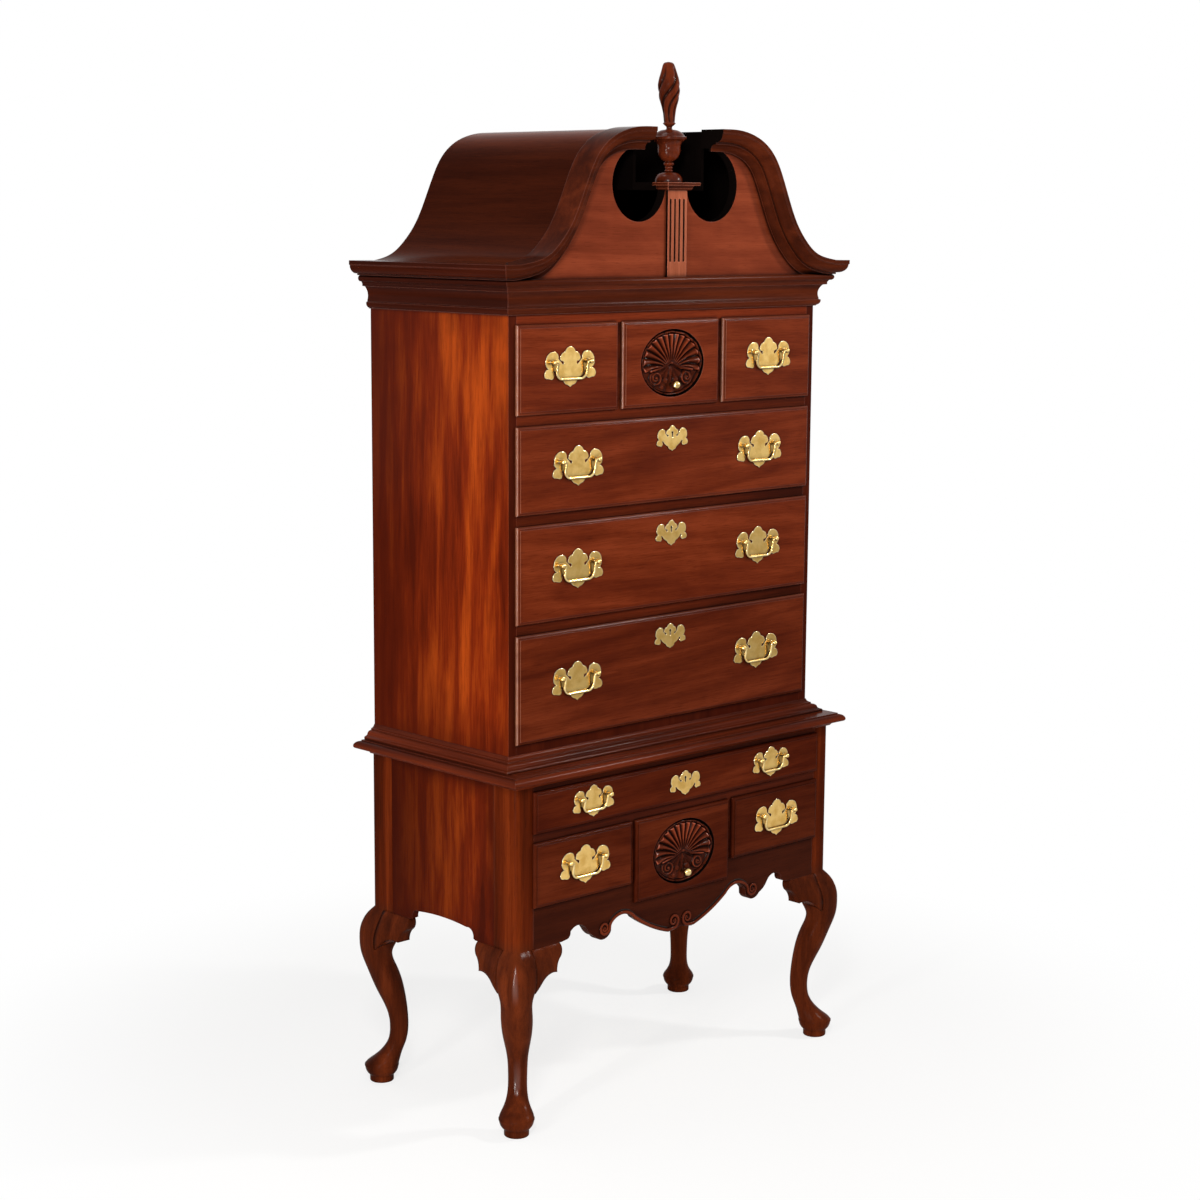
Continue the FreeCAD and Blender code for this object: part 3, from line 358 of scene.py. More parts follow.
def polished_brass(name, colour, rough, rim=0.0):
    """Polished brass with faint tarnish, painted shade below, and corners darkened by tarnish and painted
    shade.

    rim is how strongly its edges and turned parts are painted pale as a highlight.
    """
    material, f = start_finish(name)
    cloud = f.noise(f.place((45, 45, 45)), 3.0)
    tarnish = tuple(c * k for c, k in zip(colour, (0.80, 0.72, 0.55)))
    shade = f.blend(f.rise(cloud, 0.35, 0.7), rgba(colour), rgba(tarnish))
    rounded, turned = f.rounded_edges(2.0 * MM, 6)
    # painted highlights: turned parts and edges made pale
    turning_highlight, brass_edge_highlight = rgba(tint(236, 204, 132)), rgba(tint(255, 242, 204))
    shade = f.blend(f.rise(f.facing(Y), -0.99, -0.9) * rim, shade, turning_highlight)
    shade = f.blend(f.rise(turned, 0.01, 0.12) * rim, shade, brass_edge_highlight)
    # painted shade on faces that look down; corners darkened by tarnish and painted shade
    underside_shade, corner = rgba(tint(104, 62, 24)), rgba(tint(88, 68, 42))
    shade = f.blend(f.rise(0 - f.facing(Z), 0.1, 0.85) * 0.8, shade, underside_shade)
    shade = f.blend(f.creases(10.0 * MM, 0.08, 0.5) * 0.85, shade, corner)
    buffing = f.noise(f.place((260, 260, 2200)), 2.0)
    f.finish(f.shader(Base_Color=shade, Metallic=1.0, Roughness=rough + (cloud - 0.5) * 0.14,
                      Normal=f.bump(buffing, 0.12, 0.05 * MM, Normal=rounded)))
    return material


# ------------------------------------------------------------ shaping helpers

def put_mesh(name, points, faces, material, body, sharp=38, groove=None):
    """A mesh piece in metres, smooth shaded up to a fold of sharp degrees, riding on a body.

    groove holds the painted shade in its hollows (1) and the painted highlight on its ridges (-1).
    """
    mesh = bpy.data.meshes.new(name)
    mesh.from_pydata([tuple(p) for p in points], [], faces)
    if groove is not None:
        mesh.attributes.new("groove", "FLOAT", "POINT").data.foreach_set("value", groove)
    mesh.update()
    shaped = bmesh.new()
    shaped.from_mesh(mesh)
    bmesh.ops.recalc_face_normals(shaped, faces=shaped.faces)
    for face in shaped.faces:
        face.smooth = True
    for edge in shaped.edges:
        edge.smooth = edge.calc_face_angle(0.0) < math.radians(sharp)
    shaped.to_mesh(mesh)
    shaped.free()
    piece = bpy.data.objects.new(name, mesh)
    bpy.context.scene.collection.objects.link(piece)
    mesh.materials.append(material)
    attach(piece, body)
    return piece


def circle(count):
    """Angles of evenly spread points round a circle."""
    return [2 * math.pi * k / count for k in range(count)]


def skin(rows, capped=(0, -1)):
    """Quad faces between equal rings of points, and one face across each capped ring."""
    count = len(rows[0])
    faces = []
    for r in range(len(rows) - 1):
        for i in range(count):
            j = (i + 1) % count
            faces.append((r * count + i, r * count + j, (r + 1) * count + j, (r + 1) * count + i))
    for ring in capped:
        start = ring % len(rows) * count
        faces.append(tuple(range(start, start + count)))
    return faces


def arc(first, middle, last, count):
    """Points on the circle through three points, from the first to the last."""
    ax, ay = first
    bx, by = middle
    cx, cy = last
    d = 2 * (ax * (by - cy) + bx * (cy - ay) + cx * (ay - by))
    ux = ((ax**2 + ay**2) * (by - cy) + (bx**2 + by**2) * (cy - ay) + (cx**2 + cy**2) * (ay - by)) / d
    uy = ((ax**2 + ay**2) * (cx - bx) + (bx**2 + by**2) * (ax - cx) + (cx**2 + cy**2) * (bx - ax)) / d
    radius = math.hypot(ax - ux, ay - uy)
    angles = [math.atan2(y - uy, x - ux) for x, y in (first, middle, last)]
    sweep = (angles[2] - angles[0]) % (2 * math.pi)
    if (angles[1] - angles[0]) % (2 * math.pi) > sweep:
        sweep -= 2 * math.pi
    return [(ux + radius * math.cos(angles[0] + sweep * i / count),
             uy + radius * math.sin(angles[0] + sweep * i / count)) for i in range(count + 1)]


def rod_rows(path, radii, sides=12):
    """Rings of points round a path, with a radius at each of its points."""
    rows = []
    side = Vector((0, 1, 0))
    for i, point in enumerate(path):
        ahead = path[min(i + 1, len(path) - 1)] - path[max(i - 1, 0)]
        across = ahead.cross(side).normalized()
        up = across.cross(ahead).normalized()
        rows.append([point + (across * math.cos(a) + up * math.sin(a)) * radii[i] for a in circle(sides)])
    return rows


def put_rod(name, path, radii, material, body):
    """A rod with painted shade along its root, where it meets the surface behind it, and a faint painted
    highlight on its crest.
    """
    rows = rod_rows(path, radii)
    painted_light = []
    for row, middle, radius in zip(rows, path, radii):
        painted_light += [min(1.0, max(-0.2, (p.y - middle.y) / radius * 1.9 + 1.1)) for p in row]
    points = [p for row in rows for p in row]
    put_mesh(name, points, skin(rows), material, body, sharp=60, groove=painted_light)


# ------------------------------------------------------------ finishes

# dark, middle and bright wood of each part; the pale lip tones and the roof's sheen tones are a painted
# highlight and a painted sheen
front_tones = (tint(82, 27, 11), tint(104, 39, 17), tint(124, 51, 25))
side_tones = (tint(74, 19, 5), tint(114, 35, 8), tint(156, 62, 15))
post_tones = (tint(54, 16, 4), tint(80, 26, 6), tint(104, 39, 11))
crown_tones = (tint(52, 19, 9), tint(68, 26, 12), tint(86, 35, 17))
tympanum_tones = (tint(100, 40, 21), tint(118, 50, 28), tint(134, 60, 35))
# painted highlight on the lips of the upper drawer fronts
lip_highlight_tones = (tint(150, 90, 64), tint(168, 106, 77), tint(188, 124, 92))
plinth_tones = (tint(134, 68, 45), tint(150, 80, 55), tint(168, 93, 66))
apron_tones = (tint(46, 15, 7), tint(54, 19, 8), tint(62, 23, 10))
deep_tones = (tint(42, 13, 6), tint(54, 18, 8), tint(68, 24, 11))
roof_tones = (tint(40, 12, 5), tint(50, 17, 7), tint(60, 22, 9))
# painted sheen on the brow and lowest slope of the bonnet roof
painted_roof_sheen_tones = (tint(84, 32, 13), tint(98, 40, 17), tint(112, 48, 21))
rail_tones = (tint(50, 16, 7), tint(74, 26, 11), tint(96, 36, 16))
leg_tones = (tint(48, 17, 7), tint(70, 27, 11), tint(92, 38, 16))
carved_tones = (tint(46, 15, 7), tint(68, 24, 10), tint(92, 35, 15))


def front_corner(sides, front, reach=0.0):
    """Half-width and front of a case, at the corner that its mouldings are mitred on."""
    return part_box(sides)[1].x + reach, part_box(front)[0].y


case_mitre = front_corner("upper_case_carcass", "upper_case_carcass")
table_mitre = front_corner("lower_case_sides", "lower_case_apron", 0.5 * MM)
cap_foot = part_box("plinth")[1].z - 16.5 * MM
flute_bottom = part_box("plinth")[0].y + 21.0 * MM
urn_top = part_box("finial")[0].z + 115.5 * MM
frieze_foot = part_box("upper_shell_drawer_front")[1].z - 1.5 * MM
well_half_width = 106.5 * MM
gooseneck_end = 97.8 * MM
recess_half_width, recess_half_height = 96.5 * MM, 73.5 * MM

# heights at which a polished part starts, is at its brightest, wanes and ends
knee_heights = (0.29, 0.33, 0.378, 0.388)
foot_heights = (0.04, 0.06, 0.10, 0.17)


def bonnet_black_faces(f):
    """All of the bonnet across the width of its well, and the faces that look down, which are made
    near-black.
    """
    return ((abs(f.coordinate(X)) < well_half_width) + (f.facing(Z) < -0.02)) > 0.5


def rear_black_faces(f):
    """Cut edges of the roundels and the hidden rear of the tympanum, made near-black like the well."""
    return f.facing(Y) > -0.5


def neck_black_ends(f):
    """Cut ends of the goosenecks, made near-black like the well beside them."""
    return abs(f.coordinate(X)) < gooseneck_end


def plinth_painted_shade(f):
    """Sides of the fluted block and the bottoms of its flutes, near-black as painted shade."""
    side_or_deep = ((abs(f.facing(X)) > 0.9) + (f.coordinate(Y) > flute_bottom)) > 0.5
    return side_or_deep * (f.coordinate(Z) < cap_foot)


def recess_painted_shade(node):
    """Painted shade, near-black, on the walls and the ground of a drawer front's oval recess."""
    low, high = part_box(node)

    def black_faces(f):
        across = (f.coordinate(X) - (low.x + high.x) / 2) * (1 / recess_half_width)
        upright = (f.coordinate(Z) - (low.z + high.z) / 2) * (1 / recess_half_height)
        in_oval = (across * across + upright * upright) < 1
        return (in_oval + (f.coordinate(Y) > low.y + 0.8 * MM)) > 1.5
    return black_faces


def side_run(f):
    """The mouldings' runs along the sides of the upper case."""
    return beside(f, case_mitre)


def post_part(f):
    """The straight corner posts above the knees."""
    return f.rise(f.coordinate(Z), 0.385, 0.43)


def knees_and_feet(f):
    """The outer corner of each leg at its knee and over its foot."""
    outward = [((f.coordinate(axis) > 0) * 2 - 1) * f.facing(axis) for axis in (X, Y)]
    corner = f.rise(outward[X] * outward[Y] * (outward[X] > 0) * 2, 0.62, 1.0)
    height = f.coordinate(Z)
    return corner * (f.band(height, *knee_heights) + f.band(height, *foot_heights))


def turned_parts(f):
    """The urn below the flame, a little shiny."""
    return (f.coordinate(Z) < urn_top) * 0.12


def lip_highlight(f):
    """The rounded lip of a drawer front, painted pale as a highlight and given a shiny coat, most on the left
    where the light falls.
    """
    return f.rise(1 + f.facing(Y), 0.05, 0.3) * (0.15 + (f.facing(X) < -0.25) * 0.6)


def frieze_part(f):
    """The rail between the upper drawers and the cornice."""
    return f.coordinate(Z) > frieze_foot


def painted_roof_sheen(f):
    """The brow of the bonnet roof and, less, its lowest slope, where a sheen of light is painted on."""
    brow = f.rise(f.coordinate(Z), 2.03, 2.077)
    above_eaves = f.rise(f.coordinate(Z), 1.80, 1.90)
    return brow + (1 - above_eaves) * 0.35


def plinth_cap(f):
    """The stepped cap on the fluted block."""
    return f.coordinate(Z) > cap_foot


def front_edge(f):
    """Faces that look straight to the front."""
    return f.facing(Y) < -0.8


def node_box(node, reach=0.0):
    """Lowest and highest corner of a CAD node, taken further to the front by reach."""
    low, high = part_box(node)
    return (low.x, low.y - reach, low.z), (high.x, high.y, high.z)


# toning and painted shade of the side boards, darker towards their edges: the upper area reaches past the
# front, so that the front edge stays bright
upper_side_toning_and_shade = (node_box("upper_case_carcass", 60.0 * MM), (Y, Z), 0.16)
lower_side_toning_and_shade = (node_box("lower_case_sides"), (Y, Z), 0.05)

finishes = {
    "legs": mahogany("leg_mahogany", Z, leg_tones, 1.0, gloss=0.012, other=(post_part, post_tones),
                     crease_shade=0, edge_highlight=0, edge=8.0, burnished=knees_and_feet),
    "sides": mahogany("side_mahogany", Z, side_tones, 3.0, lean=0.02, pace=1.9,
                      painted_falloff=(Y, -0.16, 0.30, 0.72), toning_and_shade=upper_side_toning_and_shade, toning_and_shade_share=0.68,
                      other=(front_edge, shaded(rail_tones, 0.6))),
    # painted shade: the lower sides take the upper sides' wood darkened, as less light falls low down, and
    # darken further to the rear
    "lower_sides": mahogany("lower_side_mahogany", Z, shaded(side_tones, 0.68), 4.4, pace=2.4,
                            painted_falloff=(Y, -0.2, 0.2, 0.85), toning_and_shade=lower_side_toning_and_shade),
    "rails": mahogany("rail_mahogany", X, rail_tones, 5.0, crease_shade=1.0,
                      other=(frieze_part, shaded(front_tones, 1.25))),
    "apron": mahogany("apron_mahogany", X, apron_tones, 5.6, gloss=0.015, mottle=0.4),
    "cornice": mahogany("cornice_mahogany", X, crown_tones, 6.0, gloss=0.015, mitre=case_mitre, edge_highlight=0.8,
                        crease_shade=1.0, other=(side_run, shaded(deep_tones, 0.7))),
    "crown": mahogany("crown_mahogany", X, crown_tones, 6.7, gloss=0.01, mitre=case_mitre, edge_highlight=0.5,
                      edge=2.4, crease_shade=1.0, other=(side_run, shaded(deep_tones, 0.7)), black_faces=neck_black_ends),
    "base": mahogany("base_mahogany", X, rail_tones, 7.4, mitre=case_mitre),
    "table": mahogany("table_mahogany", X, rail_tones, 7.0, mitre=table_mitre),
    "tympanum": mahogany("tympanum_mahogany", X, tympanum_tones, 8.0, lean=0.03, mottle=0.7, gloss=0.03,
                         black_faces=rear_black_faces),
    "bonnet": mahogany("bonnet_mahogany", Y, roof_tones, 9.0, gloss=0.005, rough=0.2, black_faces=bonnet_black_faces,
                       other=(painted_roof_sheen, painted_roof_sheen_tones)),
    "plinth": mahogany("plinth_mahogany", Z, plinth_tones, 10.0, gloss=0.03, edge_highlight=0.9,
                       black_faces=plinth_painted_shade, other=(plinth_cap, crown_tones)),
    "finial": mahogany("finial_mahogany", Z, shaded(carved_tones, 1.25), 11.0, gloss=0.03, edge_highlight=0.3,
                       painted_relief_light=True, burnished=turned_parts),
    "carving": mahogany("carved_mahogany", X, carved_tones, 12.0, gloss=0.03, edge_highlight=0.2, painted_relief_light=True),
    # painted shadow: near-black wood for the rod laid where the quirk above the apron bead is in shade
    "painted_light": plain_wood("painted_quirk_shadow", X, tint(14, 6, 4), tint(22, 10, 6), 12.5),
    "back": plain_wood("back_board_wood", Z, tint(92, 58, 34), tint(128, 88, 56), 13.0),
    "runner": plain_wood("runner_wood", Y, tint(164, 126, 84), tint(198, 163, 116), 14.0),
    "box": plain_wood("drawer_box_wood", Y, tint(176, 140, 96), tint(208, 176, 130), 15.0),
    "plate": polished_brass("plate_brass", tint(240, 201, 122), 0.24, rim=0.9),
    "bail": polished_brass("bail_brass", tint(236, 212, 152), 0.18),
}

node_finish = {
    "front_legs": "legs", "rear_legs": "legs", "knee_blocks": "legs", "lower_case_apron": "apron",
    "lower_case_sides": "lower_sides", "lower_drawer_rails": "rails", "table_moulding": "table",
    "base_moulding": "base", "upper_case_carcass": "sides", "upper_drawer_rails": "rails",
    "back_panels": "back", "drawer_runners": "runner", "cornice_moulding": "cornice",
    "crown_moulding": "crown", "tympanum": "tympanum", "bonnet": "bonnet", "plinth": "plinth",
}
ending_finish = {"_box": "box", "_brasses": "plate", "_bail": "bail", "_knob": "bail"}

# brightness of each drawer front, as a share of front_tones: partly each board's own tone, partly painted
# shade, darker lower down and to the right where less light falls
front_tone_and_shade = {
    "upper_left": 0.95, "upper_shell": 0.92, "upper_right": 0.85,
    "upper_long_drawer_1": 0.88, "upper_long_drawer_2": 0.88, "upper_long_drawer_3": 0.7,
    "lower_long": 0.6, "lower_left": 0.5, "lower_shell": 0.5, "lower_right": 0.4,
}


def dress(node, material):
    """Gives a CAD node its finish."""
    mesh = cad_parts[node].data
    mesh.materials.clear()
    mesh.materials.append(material)


def front_mahogany(node, number):
    """Mahogany of one drawer front, its edges darkened by toning and painted shade, with a painted highlight
    on the lip of the upper ones.
    """
    tones = shaded(front_tones, front_tone_and_shade[node.removesuffix("_drawer_front").removesuffix("_front")])
    if node.startswith("upper"):
        looks = {"gloss": 0.03, "edge_highlight": 0.4, "burnished": lip_highlight, "other": (lip_highlight, lip_highlight_tones)}
    else:
        looks = {"gloss": 0.012, "edge_highlight": 0.15}
    return mahogany(node + "_mahogany", X, tones, 20.0 + 1.7 * number, lean=0.06 * (-1) ** number, mottle=0.4,
                    pace=1.5, edge=2.6, toning_and_shade=(node_box(node), (X, Z), 0.016), toning_and_shade_share=0.5,
                    black_faces=recess_painted_shade(node) if "shell" in node else None, **looks)


def dress_nodes():
    """Gives each shown CAD node its finish, by its name or the end of it; each drawer front has its own."""
    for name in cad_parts:
        ending = "_" + name.rsplit("_", 1)[-1]
        if name in node_finish:
            dress(name, finishes[node_finish[name]])
        elif ending in ending_finish:
            dress(name, finishes[ending_finish[ending]])
    for number, name in enumerate(sorted(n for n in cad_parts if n.endswith("_front"))):
        dress(name, front_mahogany(name, number))


# ------------------------------------------------------------ carved shells, in millimetres

def smooth_step(value, low, high):
    t = np.clip((value - low) / (high - low), 0, 1)
    return t * t * (3 - 2 * t)


def ridge(distance, width):
    """Rounded ridge of height 1 along distance = 0."""
    return np.sqrt(np.clip(1 - (distance / width) ** 2, 0, 1))


def boss(x, z, centre_x, centre_z, radius):
    """Rounded boss of height 1 over its centre."""
    return ridge(np.hypot(x - centre_x, z - centre_z), radius)


def to_segment(x, z, x0, z0, x1, z1):
    """Distance from points to the straight line between two ends."""
    dx, dz = x1 - x0, z1 - z0
    t = np.clip(((x - x0) * dx + (z - z0) * dz) / (dx * dx + dz * dz), 0, 1)
    return np.hypot(x - x0 - t * dx, z - z0 - t * dz)


def to_line(x, z, *ends):
    """Distance from points to the straight runs between several ends."""
    return reduce(np.minimum, (to_segment(x, z, *a, *b) for a, b in zip(ends, ends[1:])))


def fan_relief(x, z, half_x, half_z):
    """Ribbed fan that spreads from a hinge low in the oval, with a lobed lip along the oval's edge."""
    hinge = -15.0
    spread, ribs = math.radians(113), 17
    dz = z - hinge
    angle = np.arctan2(x, dz)
    ca, sa = np.cos(angle), np.sin(angle)
    # distance from the hinge to the oval's edge in each direction
    a = (sa / half_x) ** 2 + (ca / half_z) ** 2
    b = 2 * hinge * ca / half_z**2
    c = (hinge / half_z) ** 2 - 1
    edge = (-b + np.sqrt(b * b - 4 * a * c)) / (2 * a)
    rho = np.hypot(x, dz) / edge
    phase = angle / (0.74 + 0.26 * rho) / spread * ribs / 2
    across = 2 * np.abs(((phase + 0.5) % 1.0) - 0.5)
    rib = np.cos(across * math.pi / 2) ** 1.3
    lobe = np.abs(np.cos(phase * math.pi / 2))
    dish = 3.4 + 3.4 * (1 - smooth_step(rho, 0.2, 0.6)) + 1.2 * smooth_step(rho, 0.5, 0.85)
    fan = dish + rib * (1.2 + 5.4 * smooth_step(rho, 0.15, 0.55))
    lip = ridge(rho - 0.962 + 0.012 * (1 - lobe), 0.034) * (9.4 + 2.0 * lobe)
    return np.where(rho > 0.90, np.maximum(fan * (1 - smooth_step(rho, 0.90, 0.925)), lip), fan)


def scroll_relief(x, z, half_x, half_z):
    """Lower part: ruffled ground, knob and middle leaf, and on each side a scroll, a brow and two leaves."""
    beside_middle = np.abs(x)
    low_angle = np.arctan2(x, -(z + 4.0))
    ruffle = 4.6 + 1.7 * np.cos(low_angle * 13) * smooth_step(np.hypot(x, z + 4), 6, 26)
    scroll_x, scroll_z = beside_middle - 46.0, z + 31.0
    r = np.hypot(scroll_x, scroll_z * 1.12)
    coil = 0.5 + 0.5 * np.cos(r * 0.62 - np.arctan2(scroll_z, scroll_x) + 0.8)
    scroll = (6.4 + 3.4 * coil**1.5) * smooth_step(-r, -18.5, -15.5)
    scroll_eye = 11.2 * ridge(r, 4.6)
    brow = 10.8 * ridge(to_line(beside_middle, z, (3, 1), (30, -10), (60, -16)), 4.2)
    upper_leaf = 9.8 * boss(beside_middle, z, 16, -37, 8.5)
    lower_leaf = 9.2 * boss(beside_middle, z, 26, -52, 7.5)
    knob = 12.2 * boss(x, z, 0, 1, 5.0)
    vein = 1.4 * (beside_middle < 0.7)
    middle_leaf = (10.0 - 1.6 * beside_middle / 6.5) * ridge(np.hypot(x / 6.5, (z + 17.0) / 17.0), 1.0) - vein
    low = reduce(np.maximum, (ruffle, scroll, scroll_eye, brow, upper_leaf, lower_leaf, knob, middle_leaf))
    rho = np.hypot(x / half_x, z / half_z)
    rim = np.maximum(low * (1 - smooth_step(rho, 0.86, 0.91)), 9.4 * ridge(rho - 0.955, 0.04))
    return np.where(rho > 0.90, rim, low)


def shell_relief(x, z, half_x, half_z):
    """Height of the carving over the floor of its oval recess."""
    beside_middle = np.abs(x)
    brow_z = np.interp(beside_middle, [0, 30, 60, 96], [1, -10, -16, -20])
    above = smooth_step(z - brow_z, -0.8, 0.8)
    height = fan_relief(x, z, half_x, half_z) * above + scroll_relief(x, z, half_x, half_z) * (1 - above)
    hood = 10.8 * ridge(to_line(beside_middle, z, (0, 1), (30, -10), (62, -16)), 3.6)
    hood = hood * (np.hypot(x / half_x, z / half_z) < 0.9)
    return np.maximum(np.maximum(height, hood), 2.3)


def hollows(relief, reach):
    """How far each point of a relief in rings lies below (1) or above (-1) the mean around it."""
    mean = np.zeros_like(relief)
    rows = np.arange(len(relief))
    steps = range(-reach, reach + 1)
    for r in steps:
        row = np.clip(rows + r, 0, len(relief) - 1)
        for t in steps:
            mean += np.roll(relief[row], t, axis=1)
    return np.clip((mean / len(steps) ** 2 - relief) / 1.5 + 0.1, -1, 1)


def shell_painted_light(relief, share, angle, z):
    """Painted shade in the hollows of a shell, dashed along its lip and full round its outline.

    Its ridges get a painted highlight, but less in the lower part.
    """
    groove = hollows(relief, 3)
    dashes = np.clip(0.7 - 1.2 * np.abs(np.sin(angle * 8.5)), 0.1, 1.0)
    groove = np.where(share > 0.935, np.maximum(groove, dashes), groove)
    groove = np.where((groove < 0) & (z < -16), groove * 0.35, groove)
    groove[-2:] = 1.0
    return groove


def carve_shell(body, front_node):
    """Scallop shell in the oval recess of a drawer front."""
    low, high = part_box(front_node)
    centre = Vector(((low.x + high.x) / 2, low.y, (low.z + high.z) / 2))
    half_x, half_z, floor_depth = 92.5, 69.5, 12.0
    rings, turns = 96, 420
    share = np.linspace(0, 1, rings + 1)[1:, None]
    angle = np.linspace(0, 2 * math.pi, turns, endpoint=False)[None, :]
    x = share * half_x * np.cos(angle)
    z = share * half_z * np.sin(angle)
    relief = shell_relief(x, z, half_x, half_z)
    # painted shade in the shell's hollows and a painted highlight on its ridges
    painted_light = shell_painted_light(relief, share, angle, z)
    relief[-1] = 0.4
    points = [centre + Vector((0, (floor_depth - float(relief[0].mean())) * MM, 0))]
    points += [centre + Vector((float(px) * MM, (floor_depth - float(h)) * MM, float(pz) * MM))
               for px, pz, h in zip(x.ravel(), z.ravel(), relief.ravel())]
    faces = [(0, 1 + i, 1 + (i + 1) % turns) for i in range(turns)]
    faces += [tuple(1 + corner for corner in face) for face in skin(relief, capped=(-1,))]
    put_mesh(body + "_shell_carving", points, faces, finishes["carving"], body,
             sharp=55, groove=[0.0] + painted_light.ravel().tolist())


# ------------------------------------------------------------ flame finial, in millimetres

flame_foot, flame_tip = 123.5, 248.3


def flame_radius(height):
    """Outline of the flame: its radius at a height over the finial's foot."""
    heights = (flame_foot, 130, 144.8, 159.5, 174, 188.7, 203.5, 215, 226.8, 238.5, 244, 246.6, flame_tip)
    radii = (11.5, 12.4, 14.3, 17.4, 21.2, 23.4, 23.2, 21.2, 17.6, 13.8, 11.4, 9.0, 0.4)
    return float(np.interp(height, heights, radii))


def urn_profile():
    """Radius and height along the turned part below the flame: foot, three rings, bell, cap and neck."""
    profile = [(0.0, 0.0), (29.0, 0.0), (29.0, 2.5)] + arc((29.0, 2.5), (25.0, 14.5), (13.0, 21.0), 12)
    for radius, z0, z1, waist in ((9.0, 21.5, 27.0, 7.2), (8.4, 28.0, 34.0, 6.6), (11.2, 35.0, 42.5, 7.5)):
        profile += [(waist, z0)] + arc((waist, z0), (radius, (z0 + z1) / 2), (waist, z1), 8)
    profile += [(9.0, 44.0)] + arc((12.0, 45.5), (20.5, 54.5), (24.2, 69.5), 12)
    profile += arc((24.2, 69.5), (27.0, 82.5), (35.0, 89.0), 10)
    profile += [(36.7, 90.1), (36.7, 94.1), (35.0, 95.1)]
    profile += arc((33.0, 95.7), (24.0, 105.0), (10.0, 109.3), 12)
    profile += [(7.0, 110.1), (5.8, 112.5), (6.4, 115.5), (10.0, 118.5)]
    return profile + [(13.4, 121.5), (13.4, 122.7), (11.8, flame_foot)]


def flame_ring(rise, turns):
    """Ring of points round the twisting flame, and the painted shade in its grooves; rise is 0 at the flame's
    foot, 1 at its tip.
    """
    height = flame_foot + (flame_tip - flame_foot) * rise
    outer = flame_radius(height)
    lean = 3.0 * rise**1.2
    deep = min(5.2 * math.sin(min(1.0, rise * 1.5 + 0.1) * math.pi / 2) * (1 - rise**6), outer * 0.42)
    twist = 2.0 * rise - 0.55 * math.sin(rise * 2 * math.pi)
    ring, painted_light = [], []
    for angle in circle(turns):
        turn = angle - twist
        phase = (turn + 0.35 * math.sin(turn + 1.0)) * 3
        groove = (1 - abs(math.cos(phase))) ** 1.4
        second = (1 - abs(math.cos(phase * 2 + 3 * rise))) ** 1.2
        radius = max(0.3, outer - groove * deep - second * 1.3 * (1 - rise))
        ring.append((radius * math.cos(angle) - 0.72 * lean, radius * math.sin(angle) + 0.69 * lean, height))
        # painted shade in the flame's grooves, fading out near the tip
        painted_light.append(min(1.0, max(0.0, groove * 1.25 - 0.15)) * (1 - rise**4))
    return ring, painted_light


def turned_finial():
    """Turned urn with a carved, twisting flame, in place of the plain turned finial."""
    low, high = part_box("finial")
    foot = Vector(((low.x + high.x) / 2, (low.y + high.y) / 2, low.z))
    turns, steps = 112, 84
    rows = [[(radius * math.cos(a), radius * math.sin(a), height) for a in circle(turns)]
            for radius, height in urn_profile()]
    painted_light = [0.0] * (len(rows) * turns)
    for step in range(1, steps + 1):
        ring, ring_painted_light = flame_ring(step / steps, turns)
        rows.append(ring)
        painted_light += ring_painted_light
    points = [foot + Vector(point) * MM for row in rows for point in row]
    piece = put_mesh("flame_finial", points, skin(rows), finishes["finial"], "case",
                     sharp=50, groove=painted_light)
    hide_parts("finial")


# ------------------------------------------------------------ apron carving, in millimetres

volute_steps = 56


def spiral(centre, start_radius, end_radius, start_angle, turns):
    """Points of a volute that winds inwards; negative turns run clockwise."""
    points = []
    for i in range(volute_steps + 1):
        t = i / volute_steps
        radius = start_radius + (end_radius - start_radius) * t**0.85
        angle = start_angle + 2 * math.pi * turns * t
        points.append((centre[0] + radius * math.cos(angle), centre[1] + radius * math.sin(angle)))
    return points


def volute_eye(name, x, z, size, front):
    """Domed button in the middle of a volute."""
    rings, turns = 6, 20
    rows = []
    for ring in range(rings + 1):
        climb = ring / rings * math.pi / 2
        radius, lift = math.cos(climb) * size, math.sin(climb) * size * 0.9
        rows.append([Vector((x + radius * math.cos(a), 0, z + radius * math.sin(a))) * MM
                     + Vector((0, front - lift * MM, 0)) for a in circle(turns)])
    points = [p for row in rows for p in row]
    put_mesh(name, points, skin(rows, capped=(0,)), finishes["carving"], "case")


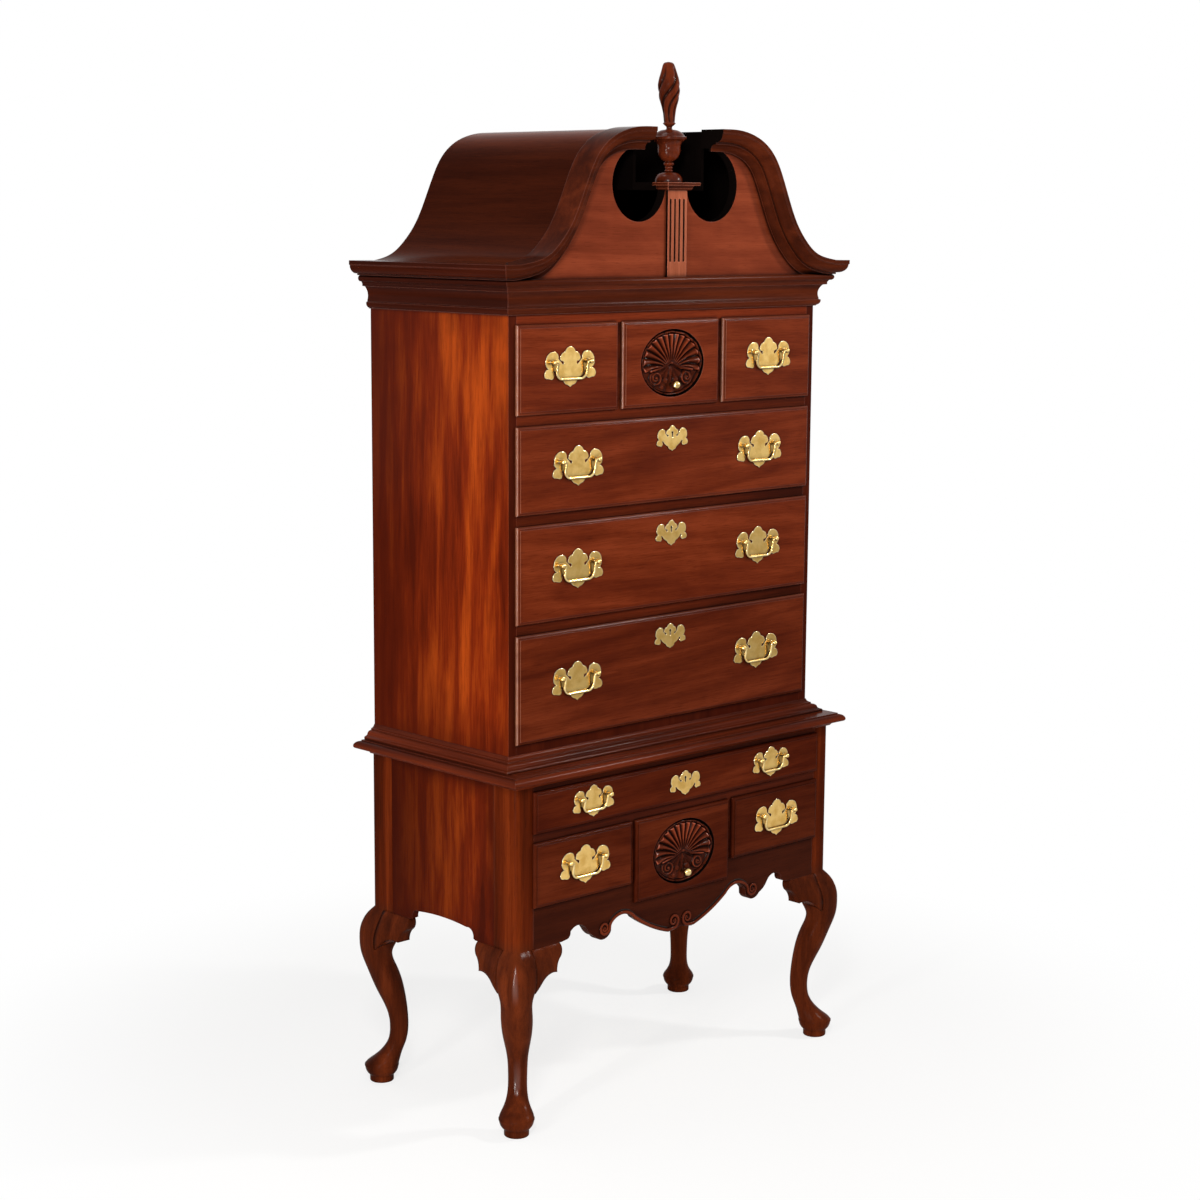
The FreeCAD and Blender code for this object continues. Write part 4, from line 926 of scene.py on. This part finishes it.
def carve_apron():
    """Bead along the middle arches of the apron, ending in a volute at each end."""
    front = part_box("lower_case_apron")[0].y
    outer_eye, inner_eye = (230.5, 403.0), (21.0, 378.0)
    outer = spiral(outer_eye, 15.5, 5.0, math.radians(170), 1.55)
    inner = spiral(inner_eye, 16.5, 4.5, math.radians(-80), -1.45)
    crest = arc((213.0, 412.0), (180.0, 427.5), (141.0, 410.5), 18)
    slope = arc((141.0, 410.5), (91.0, 380.5), (40.0, 360.5), 20)
    arches = crest + slope[1:]
    line = outer[::-1] + arches + inner[1:]
    # the bead swells along its volutes to its full thickness
    radii = [(2.6 + 1.7 * min(1.0, min(i, len(line) - 1 - i) / volute_steps)) * MM for i in range(len(line))]
    for side, word in ((-1, "left"), (1, "right")):
        bead = [Vector((side * x * MM, front - 0.4 * MM, z * MM)) for x, z in line]
        put_rod("apron_bead_" + word, bead, radii, finishes["carving"], "case")
        # painted shadow: a near-black rod just above the arches, standing in for the shade in the quirk over
        # the bead
        quirk_shadow = [Vector((side * x * MM, front + 0.6 * MM, (z + 5.4) * MM)) for x, z in arches]
        put_rod("apron_quirk_" + word, quirk_shadow, [1.5 * MM] * len(quirk_shadow), finishes["painted_light"], "case")
        for (x, z), size, place in ((outer_eye, 4.6, "outer"), (inner_eye, 4.2, "inner")):
            volute_eye("apron_%s_eye_%s" % (place, word), side * x, z, size, front)


# ------------------------------------------------------------ setting

def world_light():
    """Soft light from all round, and a plain white background for the eye and for reflections."""
    world = bpy.data.worlds.new("studio")
    bpy.context.scene.world = world
    world.use_nodes = True
    f = Finish(world.node_tree)
    seen = reduce(Value.larger, [f.node("ShaderNodeLightPath", out=ray)
                                 for ray in ("Is Camera Ray", "Is Glossy Ray", "Is Transmission Ray")])
    soft = f.node("ShaderNodeBackground", {}, {"Color": (1.0, 0.985, 0.96, 1), "Strength": 0.28})
    white = f.node("ShaderNodeBackground", {}, {"Color": (1, 1, 1, 1), "Strength": 1.0})
    f.finish(f.mix(seen, soft, white), "ShaderNodeOutputWorld")


def lamp(name, place, aim, size, power, colour):
    """A soft box that points at aim."""
    light = bpy.data.lights.new(name, "AREA")
    light.shape = "RECTANGLE"
    light.size, light.size_y = size
    light.energy = power
    light.color = colour
    holder = bpy.data.objects.new(name, light)
    holder.location = place
    holder.rotation_euler = (Vector(aim) - Vector(place)).to_track_quat("-Z", "Y").to_euler()
    bpy.context.scene.collection.objects.link(holder)


def floor():
    """Pale paper floor that runs out to plain white away from the highboy."""
    paper, f = start_finish("floor_paper")
    away = f.node("ShaderNodeVectorMath", {"operation": "LENGTH"}, {0: f.position()}, out=1)
    grain = f.noise(f.place((40, 40, 40)), 2.0)
    sheet = f.shader(Base_Color=(0.93, 0.93, 0.93, 1), Roughness=0.9 + grain * 0.02, Specular_IOR_Level=0.1)
    glow = f.node("ShaderNodeEmission", {}, {"Color": (1, 1, 1, 1), "Strength": 1.0})
    seen = f.node("ShaderNodeLightPath", out="Is Camera Ray")
    f.finish(f.mix(seen * (0.76 + f.rise(away, 0.75, 1.7) * 0.24), sheet, glow))
    mesh = bpy.data.meshes.new("floor")
    mesh.from_pydata([(-9, -9, 0), (9, -9, 0), (9, 9, 0), (-9, 9, 0)], [], [(0, 1, 2, 3)])
    mesh.materials.append(paper)
    ground = bpy.data.objects.new("floor", mesh)
    bpy.context.scene.collection.objects.link(ground)


def camera():
    """Three-quarter view from the left, from a little above eye level."""
    eye = Vector((-3.6995, -3.85405, 1.9122))
    ahead = Vector((0.68034, 0.71366, -0.16683)).normalized()
    up = Vector((0.11071, 0.12494, 0.98597))
    right = ahead.cross(up).normalized()
    up = right.cross(ahead)
    lens = bpy.data.cameras.new("camera")
    lens.sensor_width = 36.0
    lens.lens = 73.117
    lens.shift_x = 0.0007
    lens.shift_y = 0.0185
    lens.clip_end = 60.0
    holder = bpy.data.objects.new("camera", lens)
    turn = Matrix((right, up, -ahead)).transposed().to_4x4()
    holder.matrix_world = Matrix.Translation(eye) @ turn
    bpy.context.scene.collection.objects.link(holder)
    bpy.context.scene.camera = holder


bpy.context.scene.view_settings.view_transform = "Standard"
dress_nodes()
carve_shell("upper_shell_drawer", "upper_shell_drawer_front")
carve_shell("lower_shell_drawer", "lower_shell_drawer_front")
turned_finial()
carve_apron()
floor()
world_light()
# name, place, aim, width and height, power, colour
lamp("key_box", (-3.0, -2.7, 2.8), (-0.2, 0.0, 1.1), (0.45, 0.8), 86, (1.0, 0.97, 0.93))
lamp("fill_box", (2.3, -2.0, 3.0), (0.0, 0.0, 1.2), (0.3, 0.3), 64, (1.0, 0.98, 0.95))
lamp("top_box", (-0.6, 0.4, 4.4), (0.0, 0.0, 1.6), (1.0, 1.0), 20, (1.0, 0.98, 0.95))
lamp("side_strip", (-3.0, -1.0, 1.05), (0.0, 0.0, 1.05), (0.06, 2.1), 52, (1.0, 0.97, 0.93))
camera()
